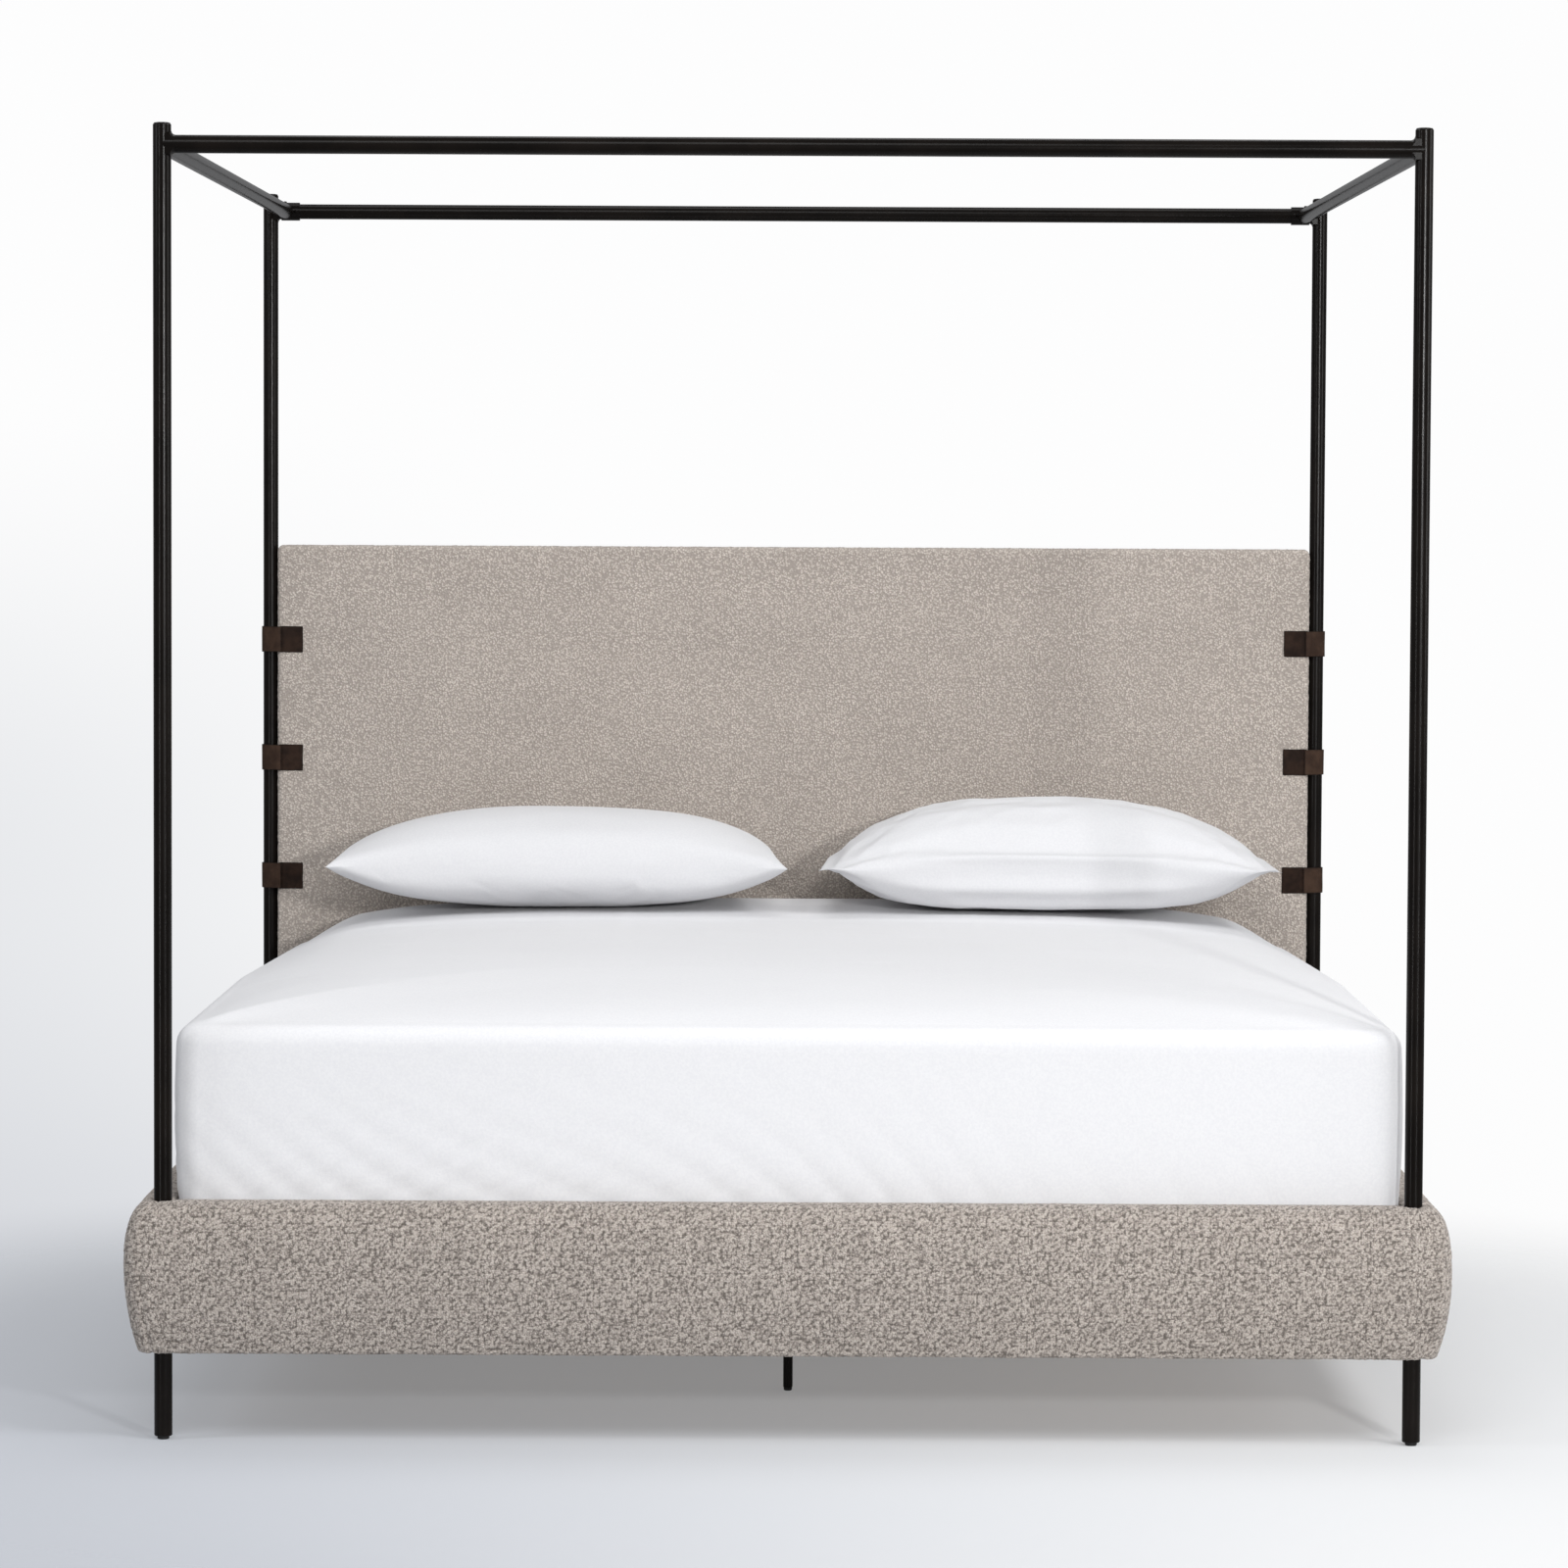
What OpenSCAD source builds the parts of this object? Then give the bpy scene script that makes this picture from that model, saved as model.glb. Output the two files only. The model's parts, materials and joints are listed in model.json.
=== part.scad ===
// Four poster canopy bed: slim iron tube frame, padded rails, a headboard strapped to the rear posts,
// slatted deck, mattress, fitted sheet and two pillows.
// Millimetres. +X is to the right for someone at the foot end, +Y runs to the head and +Z is up.
// The origin is on the floor, at the middle of the outline.

/* [Mattress and pillows] */
// Width of the mattress, which sets the width of the bed
mattress_w = 1930; // [1500:1:2200]
// Length of the mattress, which sets the length of the bed
mattress_l = 2032; // [1600:1:2300]
// Height of the mattress at its long edges
mattress_edge_h = 330; // [220:10:360]
// How far the middle of the mattress stands above its edges
mattress_crown = 60; // [10:5:80]
// Radius of the mattress's upright corners
mattress_corner_r = 75; // [40:5:120]
// Radius of the mattress's upper and lower edges
mattress_edge_r = 48; // [20:2:80]
// Thickness of the fitted sheet
sheet_t = 1.5; // [1:0.5:3]
// How far the sheet's hem turns in under the mattress
hem_w = 90; // [50:10:140]
// Distance of a pillow from the mattress's side
pillow_side_gap = 76; // [50:1:200]
// Gap between the two pillows
pillow_gap = 58; // [40:1:120]
// Depth of a pillow from front to back
pillow_l = 450; // [380:10:500]
// Height of a pillow at its middle
pillow_h = 205; // [120:5:230]
// How far the pair of pillows lies to the right of the middle
pillow_shift = 22; // [-30:1:30]

/* [Tube frame] */
// Height of the bed over its post caps
total_h = 2066; // [1600:5:2400]
// Outside diameter of the posts and canopy rails
tube_d = 28.6; // [22:0.2:38]
// Wall of the posts and canopy rails
tube_wall = 2; // [1.5:0.1:3]
// Height of the post tops above the axes of the canopy rails
post_above_rail = 34; // [25:1:80]
// How far the rear posts stand outside the line of the front posts
rear_offset = 29.5; // [24:0.5:34]
// Radius of the weld fillets above and below the rails
weld_r = 6.5; // [3:0.5:9]
// Thickness of the dome on a post cap
cap_dome = 2.5; // [1:0.5:4]
// Depth of a post cap's plug
cap_plug = 14; // [8:1:25]

/* [Feet] */
// Diameter of a corner foot pad
foot_d = 19; // [14:0.5:21]
// Height of a foot pad
foot_h = 5; // [4:0.5:10]
// Diameter of a corner foot's stud
stud_d = 8; // [6:1:10]
// How far a foot can be screwed out
foot_travel = 10; // [5:1:15]
// Length of the threaded insert in a leg
insert_l = 30; // [25:1:40]

/* [Padded rails] */
// Height of the underside of the padded rails
rail_bottom = 140; // [80:1:200]
// Height of the crest of the padded rails
rail_top = 379; // [340:1:420]
// Height at which the padding stands out furthest
belly_z = 278; // [220:1:300]
// How far the padding stands out from the post axes
rail_bulge = 58; // [50:1:80]
// How far the lower edge of the padding stands out from the post axes
rail_toe = 36; // [25:1:45]
// How far the crest's flat stands out from the post axes
crest_flat = 15; // [5:1:25]
// Radius of the footboard's upright corners
rail_corner_r = 34; // [15:1:50]
// Thickness of the woven cover
cover_t = 3; // [2:0.5:4]
// Thickness of the rails' wooden cores
core_t = 22; // [18:1:28]
// Height of the foam over a wooden core
core_cap = 24; // [15:1:40]

/* [Headboard] */
// Height of the top of the headboard
headboard_top = 1389; // [1000:5:1500]
// Thickness of the headboard with its cover
headboard_t = 44; // [40:1:60]
// Radius of the headboard's edges
headboard_edge_r = 9; // [5:1:14]
// Thickness of the headboard's wooden core
headboard_core_t = 18; // [12:1:22]
// Height of a leather strap
strap_h = 49; // [30:1:70]
// Thickness of the strap leather
strap_t = 3; // [2:0.5:4]
// Thickness of the leather patches under the straps
patch_t = 2; // [1:0.5:3]
// How far a patch reaches in from the post's axis
patch_reach = 64; // [45:1:90]
// How far a strap's tail reaches in from the post's axis
strap_reach = 22; // [18:0.5:30]
// Distance of the highest strap's middle below the top of the headboard
strap_drop = 182; // [60:1:200]
// Distance between straps
strap_pitch = 229; // [120:1:250]

/* [Deck] */
// Height of the underside of the slats
deck_z = 300; // [290:1:310]
// Thickness of a slat
slat_t = 20; // [15:1:25]
// Width of a slat
slat_w = 70; // [50:1:90]
// Number of slats
slat_n = 13; // [9:1:16]
// Thickness of the webbing that ties the slats together
webbing_t = 1; // [0.5:0.5:2]
// Width of the webbing
webbing_w = 30; // [20:1:40]
// Width of the centre beam
beam_w = 40; // [30:1:50]
// Height of the centre beam
beam_h = 60; // [50:1:70]
// Wall of the centre beam
beam_wall = 2; // [1.5:0.1:3]
// Diameter of a centre leg
leg_d = 16; // [14:1:22]
// Distance of the first centre leg behind the front posts' axes
leg_first = 510; // [400:1:600]
// Width of a ledger under the slats' ends
ledger_w = 25; // [20:1:30]
// Height of a ledger
ledger_h = 30; // [25:1:35]
// Thickness of the corner brackets' steel
bracket_t = 5; // [4:0.5:6]
// Length of a corner bracket's leg
bracket_leg = 90; // [80:1:110]
// Height of a corner bracket
bracket_h = 100; // [80:1:110]
// Thickness of the beam hangers' steel
hanger_t = 4; // [3:0.5:5]
// Height of the head rail
head_rail_h = 118; // [100:1:125]
// Thickness of the head rail
head_rail_t = 15; // [12:1:18]

/* [Hidden] */
$fn = 64;

eps = 0.01;
touch = 0.2;              // small gap between pieces of one body that only lie together
run_gap = 0.3;            // gap between pieces that move apart
thread_gap = 0.05;        // gap round a screwed stud
tube_r = tube_d / 2;
bore_r = tube_r - tube_wall;
iron = "#1c1815";
fabric = "#b8aca0";
foam = "#e8ddb8";
wood = "#c9a878";
steel = "#8d9094";
leather = "#35231b";
linen = "#f2f2f4";
plastic = "#161616";

// plan of the bed
inner_x = mattress_w / 2 + sheet_t + 2;   // inner faces of the side rails
post_x = inner_x + tube_r + touch;        // axes of the front posts
rear_x = post_x + rear_offset;            // axes of the rear posts
foot_gap = 8;                             // between the footboard and the sheet
head_gap = 10;                            // between the sheet and the headboard
post_pitch = tube_r + touch + foot_gap + 2 * sheet_t + mattress_l + head_gap + headboard_t / 2;
back_reach = headboard_t / 2 + patch_t + strap_t;
front_y = -(rail_bulge + post_pitch + back_reach) / 2 + rail_bulge;
rear_y = front_y + post_pitch;
inner_front_y = front_y + tube_r + touch; // inner face of the footboard
inner_rear_y = rear_y - tube_r - touch;   // front face of the head rail
rail_gap = bracket_t + 0.5;               // the brackets' steel stands in this seam
side_y0 = inner_front_y + rail_gap;
side_y1 = min(inner_rear_y - rail_gap, rear_y - headboard_t / 2 - touch);
leg_ys = [front_y + leg_first, front_y + post_pitch / 2, rear_y - leg_first];

// heights
canopy_z = total_h - post_above_rail;
post_top = total_h - cap_dome;
slat_top = deck_z + slat_t;
sheet_z = slat_top + webbing_t + run_gap;
mattress_z = sheet_z + sheet_t;
beam_z = deck_z - beam_h;
bracket_z = deck_z - bracket_h - 12;
head_rail_z = deck_z + slat_t - head_rail_h;
headboard_z = head_rail_z + head_rail_h;
core_z = rail_bottom + cover_t + 4;
core_top = rail_top - cover_t - core_cap;
strap_zs = [for (k = [2:-1:0]) headboard_top - strap_drop - k * strap_pitch];

// ---------- shared shapes ----------

// Hollow tube along +Z with a small chamfer outside at both ends
module tube(length, r = tube_r, wall = tube_wall, chamfer = 1) {
    rotate_extrude()
        polygon([[r - wall, 0], [r - chamfer, 0], [r, chamfer],
                 [r, length - chamfer], [r - chamfer, length], [r - wall, length]]);
}

// Rod from [0, 0, 0] along +Z with a chamfer at both ends
module rod(length, r, chamfer = 0.8) {
    rotate_extrude()
        polygon([[0, 0], [r - chamfer, 0], [r, chamfer], [r, length - chamfer], [r - chamfer, length],
                 [0, length]]);
}

// Box from its lowest and highest corners
module box(low, high) {
    translate(low) cube(high - low);
}

module both_sides() {
    children();
    mirror([1, 0, 0]) children();
}

// Lays a drawing of (outward, up) against the right side; its extrusion runs along Y
module along_y(y0, y1) {
    translate([0, y1, 0]) rotate([90, 0, 0]) linear_extrude(y1 - y0) children();
}

// Lays a drawing of (outward, up) against the front; its extrusion runs along X
module along_x(half) {
    rotate([90, 0, -90]) linear_extrude(2 * half, center = true) children();
}

// Rectangle with round corners, about the origin
module round_rect(w, h, r) {
    square([w - 2 * r, h], center = true);
    square([w, h - 2 * r], center = true);
    for (x = [-1, 1], y = [-1, 1]) translate([x * (w / 2 - r), y * (h / 2 - r)]) circle(r);
}

// Block about the origin with all its edges rounded
module round_block(w, l, h, r) {
    intersection() {
        linear_extrude(h, center = true) round_rect(w, l, r);
        rotate([90, 0, 0]) linear_extrude(l, center = true) round_rect(w, h, r);
        rotate([90, 0, 90]) linear_extrude(w, center = true) round_rect(l, h, r);
    }
}

// One level line of a soft body: a rectangle with round corners, as 3-D points
ring_steps = 7;
function ring(half_w, half_l, r, z, cx = 0, cy = 0) = [
    for (q = [0:3], k = [0:ring_steps])
        let (a = 90 * (q + k / ring_steps),
             sx = (q == 0 || q == 3) ? 1 : -1,
             sy = (q < 2) ? 1 : -1)
        [cx + sx * (half_w - r) + r * cos(a), cy + sy * (half_l - r) + r * sin(a), z]];

// Closed skin through level lines, in order, with a flat cap on the first and on the last
module level_skin(rings) {
    n = len(rings[0]);
    m = len(rings);
    polyhedron(
        points = [for (level = rings) each level],
        faces = concat(
            [[for (k = [0:n - 1]) k]],
            [[for (k = [n - 1:-1:0]) (m - 1) * n + k]],
            [for (j = [0:m - 2], k = [0:n - 1]) each [
                [j * n + k, (j + 1) * n + (k + 1) % n, j * n + (k + 1) % n],
                [j * n + k, (j + 1) * n + k, (j + 1) * n + (k + 1) % n]]]));
}

// ---------- iron frame ----------

module post(x, y) {
    color(iron) translate([x, y, foot_h + run_gap]) tube(post_top - foot_h - run_gap, chamfer = 1.2);
}

module post_caps() {
    for (x = [-1, 1], front = [0, 1])
        color(iron)
            translate([x * (front ? post_x : rear_x), front ? front_y : rear_y, post_top])
                rotate_extrude() {
                    polygon([[0, -cap_plug], [bore_r - 1, -cap_plug], [bore_r, 1 - cap_plug], [bore_r, 0],
                             [tube_r - 1.2, 0], [tube_r - 1.6, cap_dome * 0.55],
                             [tube_r * 0.6, cap_dome * 0.9], [0, cap_dome]]);
                }
}

// Flared weld round a rail's end at z = 0, which runs up the post but not past its sides. It starts
// inside the tube's wall and swells from there to weld_r outside it.
module weld_flare() {
    root_r = bore_r + tube_wall / 4;
    intersection() {
        rotate_extrude()
            polygon([[root_r, eps - tube_r], [tube_r + weld_r, eps - tube_r], [tube_r + weld_r, 0],
                     [tube_r + weld_r * 0.5, weld_r * 0.17], [tube_r + weld_r * 0.17, weld_r * 0.5],
                     [tube_r - tube_wall / 4, weld_r * 1.2], [root_r, weld_r * 1.2]]);
        cube([4 * tube_d, 2 * tube_r - 2, 4 * tube_d], center = true);
    }
}

// Everything beyond an upright plane through the origin, which looks along [1, 1, 0]
module past_mitre() {
    rotate([0, 0, 45]) translate([-eps, -4 * tube_d, -4 * tube_d]) cube(8 * tube_d);
}

// A rail along +X between two posts, its ends fitted to their round sides
module cross_rail(post_half, y) {
    color(iron) translate([0, y, canopy_z]) difference() {
        union() {
            rotate([0, 90, 0]) difference() {
                cylinder(2 * post_half, r = tube_r, center = true);
                cylinder(2 * post_half + 2, r = bore_r, center = true);
            }
            both_sides() translate([tube_r - post_half, 0, 0]) rotate([0, 90, 0]) weld_flare();
        }
        for (x = [-1, 1])
            translate([x * post_half, 0, 0]) cylinder(4 * tube_d, r = tube_r + eps, center = true);
    }
}

// The front rail is mitred at its corners, where the side rails meet the same posts
module front_canopy_rail() {
    color(iron) difference() {
        cross_rail(post_x, front_y);
        both_sides() translate([post_x, front_y, canopy_z]) past_mitre();
    }
}

saddle_r = tube_r + 3;       // outside radius of a saddle
saddle_in = tube_r + 12;     // reach of a saddle towards the middle of the bed
saddle_out = rear_offset - tube_r - weld_r;   // reach of a saddle towards the post
saddle_screw_x = post_x - tube_r - 6;    // the front screw's place, beside the side rail
spigot_l = 45;

// The right canopy rail runs from the front post to the saddle on the rear canopy rail
module side_canopy_rail() {
    color(iron) difference() {
        union() {
            translate([post_x, front_y, canopy_z]) rotate([-90, 0, 0]) difference() {
                cylinder(post_pitch, r = tube_r);
                translate([0, 0, -1]) cylinder(post_pitch + 2, r = bore_r);
            }
            translate([post_x, front_y + tube_r, canopy_z]) rotate([-90, 0, 0]) rotate([0, 0, 90])
                weld_flare();
        }
        translate([post_x, front_y, canopy_z]) cylinder(4 * tube_d, r = tube_r + eps, center = true);
        translate([post_x, front_y, canopy_z]) rotate([0, 0, 180]) past_mitre();
        translate([post_x - 3 * tube_d, rear_y, canopy_z]) rotate([0, 90, 0])
            cylinder(6 * tube_d, r = saddle_r + eps);
        translate([post_x - 3 * tube_d, rear_y, canopy_z - 3 * tube_d]) cube(6 * tube_d);
        spigot_screw_hole();
    }
}

module spigot_screw_hole() {
    translate([post_x, front_y + tube_r + spigot_l - 15, canopy_z - tube_r - 1])
        cylinder(tube_wall + 2, r = 2.6);
}

module canopy_spigots() {
    color(steel) both_sides() difference() {
        translate([post_x, front_y, canopy_z]) rotate([-90, 0, 0])
            cylinder(tube_r + spigot_l, r = bore_r - 0.1);
        translate([post_x, front_y, canopy_z]) cylinder(4 * tube_d, r = tube_r + eps, center = true);
        translate([post_x, front_y + tube_r + spigot_l - 15, canopy_z - tube_r]) cylinder(12, r = 2.6);
    }
}

module rail_saddles() {
    color(iron) both_sides() difference() {
        translate([post_x - saddle_in, rear_y, canopy_z]) rotate([0, 90, 0]) difference() {
            cylinder(saddle_in + saddle_out, r = saddle_r);
            translate([0, 0, -1]) cylinder(saddle_in + saddle_out + 2, r = tube_r + eps);
        }
        translate([post_x - 2 * saddle_in, rear_y + 5, canopy_z - 2 * tube_d])
            cube([4 * saddle_in, 2 * tube_d, 4 * tube_d]);
        saddle_screw_axes(2.1);
    }
}

// Axes of the two saddle screws: one from the front, beside the rail, and one from above
module saddle_screw_axes(r) {
    translate([saddle_screw_x, rear_y, canopy_z]) rotate([90, 0, 0]) cylinder(saddle_r + 1, r = r);
    translate([post_x + 2, rear_y, canopy_z]) cylinder(saddle_r + 1, r = r);
}

// Pan headed screw: the shank runs down from z = 0, the head stands above
module pan_screw(length, r, head_r, head_h) {
    translate([0, 0, -length]) cylinder(length + eps, r = r);
    rotate_extrude()
        polygon([[0, 0], [head_r, 0], [head_r, head_h * 0.4], [head_r * 0.7, head_h * 0.9], [0, head_h]]);
}

saddle_screw_l = 3 + tube_wall + 4;
module canopy_screws() {
    color(iron) both_sides() {
        translate([saddle_screw_x, rear_y - saddle_r, canopy_z]) rotate([90, 0, 0])
            pan_screw(saddle_screw_l, 2, 3.4, 2.2);
        translate([post_x + 2, rear_y, canopy_z + saddle_r]) pan_screw(saddle_screw_l, 2, 3.4, 2.6);
        translate([post_x, front_y + tube_r + spigot_l - 15, canopy_z - tube_r]) rod(11.5, 2.5, 0.4);
    }
}

// The rear canopy rail is drilled for the saddles' screws
module rear_canopy_rail() {
    color(iron) difference() {
        cross_rail(rear_x, rear_y);
        both_sides() saddle_screw_axes(2.1);
    }
}

// ---------- feet ----------

stud_l = insert_l + foot_travel - 2;   // a foot screwed right out still fills all but 2 of its insert
centre_foot_d = leg_d - 2;
centre_stud_d = 6;
centre_leg_wall = 1.5;

module foot(x, y, pad_d, stud) {
    color(plastic) translate([x, y, 0]) rotate_extrude()
        polygon([[0, 0], [pad_d / 2 - 1.5, 0], [pad_d / 2, 1.5], [pad_d / 2, foot_h], [stud / 2, foot_h],
                 [stud / 2, foot_h + stud_l - 0.8], [stud / 2 - 0.8, foot_h + stud_l],
                 [0, foot_h + stud_l]]);
}

module leg_insert(x, y, r, stud) {
    color(steel) translate([x, y, foot_h + run_gap]) difference() {
        cylinder(insert_l, r = r);
        translate([0, 0, -1]) cylinder(insert_l + 2, r = stud / 2 + thread_gap);
    }
}

module leg_inserts() {
    for (x = [-1, 1]) {
        leg_insert(x * post_x, front_y, bore_r, stud_d);
        leg_insert(x * rear_x, rear_y, bore_r, stud_d);
    }
    for (y = leg_ys) leg_insert(0, y, leg_d / 2 - centre_leg_wall, centre_stud_d);
}

// ---------- padded rails ----------

belly_r = (pow(belly_z - rail_bottom, 2) + pow(rail_bulge - rail_toe, 2)) / (2 * (rail_bulge - rail_toe));
belly_steps = 6;
crest_steps = 9;
crest_power = 2.5;

// Outer line of the padding as (distance out from the post axes, height), from the lower edge to the
// crest's flat: an arc up to the belly, then a squared-off quarter ellipse. inset draws it smaller.
function padding_line(inset) = concat(
    [for (k = [0:belly_steps])
        let (z = rail_bottom + inset + (belly_z - rail_bottom - inset) * k / belly_steps)
        [rail_bulge - inset - belly_r + sqrt(pow(belly_r, 2) - pow(belly_z - z, 2)), z]],
    [for (k = [1:crest_steps])
        let (a = 90 * k / crest_steps,
             out = (rail_bulge - crest_flat - inset * 0.6) * pow(cos(a), 2 / crest_power),
             up = (rail_top - inset - belly_z) * pow(sin(a), 2 / crest_power))
        [crest_flat - inset * 0.4 + out, belly_z + up]]);

back_r = 8;   // radius of the padding's inner top edge

// Whole section: the outer line closed by a flat inner face at back behind the post axes
function padding_section(inset, back) = concat(
    padding_line(inset),
    [for (k = [0:3])
        let (a = 90 + 30 * k)
        [back_r - back + back_r * cos(a), rail_top - inset - back_r + back_r * sin(a)]],
    [[-back, rail_bottom + inset]]);

module padding(inset, back) {
    polygon(padding_section(inset, back));
}

// Footboard's outer form: the section seen from the front and from its two ends, with round corners
module footboard_form(inset, back) {
    line = padding_line(inset);
    plan_half = post_x + rail_bulge - inset + 1;   // only the round corners of the plan cut in
    intersection() {
        translate([0, front_y, 0]) along_x(plan_half + 1) padding(inset, back);
        translate([0, front_y + back + 4, 0]) rotate([90, 0, 0]) linear_extrude(back + rail_bulge + 10)
            polygon(concat([for (p = line) [post_x + p[0], p[1]]],
                           [for (k = [len(line) - 1:-1:0]) [-post_x - line[k][0], line[k][1]]]));
        translate([0, front_y - rail_bulge + inset - 1 + 200, rail_bottom - 1])
            linear_extrude(rail_top - rail_bottom + 2)
                round_rect(2 * plan_half, 400, rail_corner_r + 3 - inset);
    }
}

rail_back = tube_r + touch;
front_core_half = post_x - tube_r - 1;

// The holes for the posts just break through the padding's inner face
module front_post_holes() {
    for (x = [-1, 1]) translate([x * post_x, front_y, rail_bottom - 1])
        cylinder(rail_top - rail_bottom + 2, r = tube_r + 3 * touch);
}

module footboard_core() {
    color(wood) difference() {
        box([-front_core_half, inner_front_y - core_t, core_z], [front_core_half, inner_front_y, core_top]);
        bolt_axes(4);
        hanger_screw_axes(2);
    }
}

module footboard_foam() {
    color(foam) difference() {
        footboard_form(cover_t, rail_back);
        box([-front_core_half - 3, inner_front_y - core_t, core_z],
            [front_core_half + 3, inner_front_y + 1, core_top]);
        front_post_holes();
    }
}

module footboard_cover() {
    color(fabric) difference() {
        footboard_form(0, rail_back);
        footboard_form(cover_t, rail_back + 2);
        front_post_holes();
    }
}

// The side rails are drawn on the right and mirrored for the left
module side_core() {
    color(wood) difference() {
        box([inner_x, side_y0 + cover_t, core_z], [inner_x + core_t, side_y1 - cover_t, core_top]);
        bolt_axes(4);
        ledger_screw_axes(2.5);
    }
}

module side_foam() {
    color(foam) difference() {
        translate([post_x, 0, 0])
            along_y(side_y0 + cover_t, side_y1 - cover_t) padding(cover_t, rail_back);
        box([inner_x - 1, side_y0, core_z], [inner_x + core_t, side_y1, core_top]);
    }
}

module side_cover() {
    color(fabric) translate([post_x, 0, 0]) difference() {
        along_y(side_y0, side_y1) padding(0, rail_back);
        along_y(side_y0 + cover_t, side_y1 - cover_t) padding(cover_t, rail_back + 2);
    }
}

// Half length of the head rail, whose ends meet the round sides of the rear posts
head_rail_half = rear_x - touch - sqrt(pow(tube_r, 2) - pow(max(0, tube_r + touch - head_rail_t), 2));

module head_rail() {
    color(wood) difference() {
        box([-head_rail_half, inner_rear_y, head_rail_z],
            [head_rail_half, inner_rear_y + head_rail_t, head_rail_z + head_rail_h]);
        bolt_axes(4);
        hanger_screw_axes(2);
        headboard_bolt_axes(4);
    }
}

// ---------- brackets and bolts ----------

bolt_zs = [bracket_z + bracket_h * 0.25, bracket_z + bracket_h * 0.75];
bolt_in = bracket_leg * 0.6;      // from the bracket's inner corner to its bolts
bolt_l = 20;

// Bracket of the front right corner: one leg on the footboard and the post, one on the side rail
module bracket(post_reach) {
    color(steel) difference() {
        union() {
            box([-bracket_leg, 0, 0], [post_reach, bracket_t, bracket_h]);
            box([-bracket_t, 0, 0], [0, bracket_leg, bracket_h]);
        }
        for (z = [bracket_h * 0.25, bracket_h * 0.75]) {
            translate([-bolt_in, -1, z]) rotate([-90, 0, 0]) cylinder(bracket_t + 2, r = 4.2);
            translate([-bracket_t - 1, bolt_in, z]) rotate([0, 90, 0]) cylinder(bracket_t + 2, r = 4.2);
        }
    }
}

module corner_brackets() {
    both_sides() {
        translate([inner_x, inner_front_y, bracket_z]) bracket(tube_r + touch);
        translate([inner_x, inner_rear_y, bracket_z]) mirror([0, 1, 0])
            bracket(tube_r + touch + rear_offset);
    }
}

// Runs its children at every bracket bolt, with +Z pointing out of the wood
module at_bracket_bolts() {
    both_sides() for (z = bolt_zs) {
        translate([inner_x - bolt_in, inner_front_y + bracket_t, z]) rotate([-90, 0, 0]) children();
        translate([inner_x - bolt_in, inner_rear_y - bracket_t, z]) rotate([90, 0, 0]) children();
        translate([inner_x - bracket_t, inner_front_y + bolt_in, z]) rotate([0, -90, 0]) children();
        translate([inner_x - bracket_t, inner_rear_y - bolt_in, z]) rotate([0, -90, 0]) children();
    }
}

module bolt_axes(r) {
    at_bracket_bolts() translate([0, 0, -bolt_l]) cylinder(bolt_l + 1, r = r);
}

// Hexagon headed bolt: the shank runs down from z = 0, the washer and head stand above
module hex_bolt(length) {
    translate([0, 0, -length]) cylinder(length + eps, r = 4);
    cylinder(1.5, r = 8.5);
    translate([0, 0, 1.5]) cylinder(5.3, r = 7.5, $fn = 6);
}

module bracket_bolts() {
    color(steel) at_bracket_bolts() hex_bolt(bolt_l);
}

// ---------- centre beam and its legs ----------

hanger_h = beam_h + hanger_t;
hanger_l = 45;
beam_gap = 0.3;

module centre_beam() {
    color(steel) difference() {
        box([-beam_w / 2, inner_front_y + hanger_t + beam_gap, beam_z],
            [beam_w / 2, inner_rear_y - hanger_t - beam_gap, deck_z]);
        box([beam_wall - beam_w / 2, inner_front_y, beam_z + beam_wall],
            [beam_w / 2 - beam_wall, inner_rear_y, deck_z - beam_wall]);
    }
}

// Shoe on the footboard's inner face that the beam drops into
module hanger() {
    color(steel) difference() {
        union() {
            box([-beam_w / 2 - 22, 0, -hanger_t], [beam_w / 2 + 22, hanger_t, beam_h]);
            box([-beam_w / 2 - hanger_t - beam_gap, 0, -hanger_t],
                [beam_w / 2 + hanger_t + beam_gap, hanger_l, 0]);
            both_sides() box([beam_w / 2 + beam_gap, 0, -hanger_t],
                             [beam_w / 2 + beam_gap + hanger_t, hanger_l, beam_h * 0.7]);
        }
        both_sides() for (z = [0.25, 0.75])
            translate([beam_w / 2 + 14, -1, beam_h * z]) rotate([-90, 0, 0])
                cylinder(hanger_t + 2, r = 2.2);
    }
}

module beam_hangers() {
    translate([0, inner_front_y, beam_z]) hanger();
    translate([0, inner_rear_y, beam_z]) mirror([0, 1, 0]) hanger();
}

module at_hanger_screws() {
    both_sides() for (z = [0.25, 0.75]) {
        translate([beam_w / 2 + 14, inner_front_y + hanger_t, beam_z + beam_h * z])
            rotate([-90, 0, 0]) children();
        translate([beam_w / 2 + 14, inner_rear_y - hanger_t, beam_z + beam_h * z])
            rotate([90, 0, 0]) children();
    }
}

hanger_screw_l = hanger_t + 10;
module hanger_screw_axes(r) {
    at_hanger_screws() translate([0, 0, -hanger_screw_l]) cylinder(hanger_screw_l + 1, r = r);
}

module hanger_screws() {
    color(steel) at_hanger_screws() pan_screw(hanger_screw_l, 2, 4, 2.4);
}

module centre_leg(y) {
    color(iron) {
        translate([0, y, foot_h + run_gap])
            tube(beam_z - 3 - foot_h - run_gap, leg_d / 2, centre_leg_wall, 0.8);
        box([-beam_w / 2, y - 25, beam_z - 3], [beam_w / 2, y + 25, beam_z]);
    }
}

// ---------- ledgers and slats ----------

ledger_y0 = inner_front_y + bracket_leg + 6;
ledger_y1 = inner_rear_y - bracket_leg - 6;
ledger_screw_n = 8;

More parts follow.
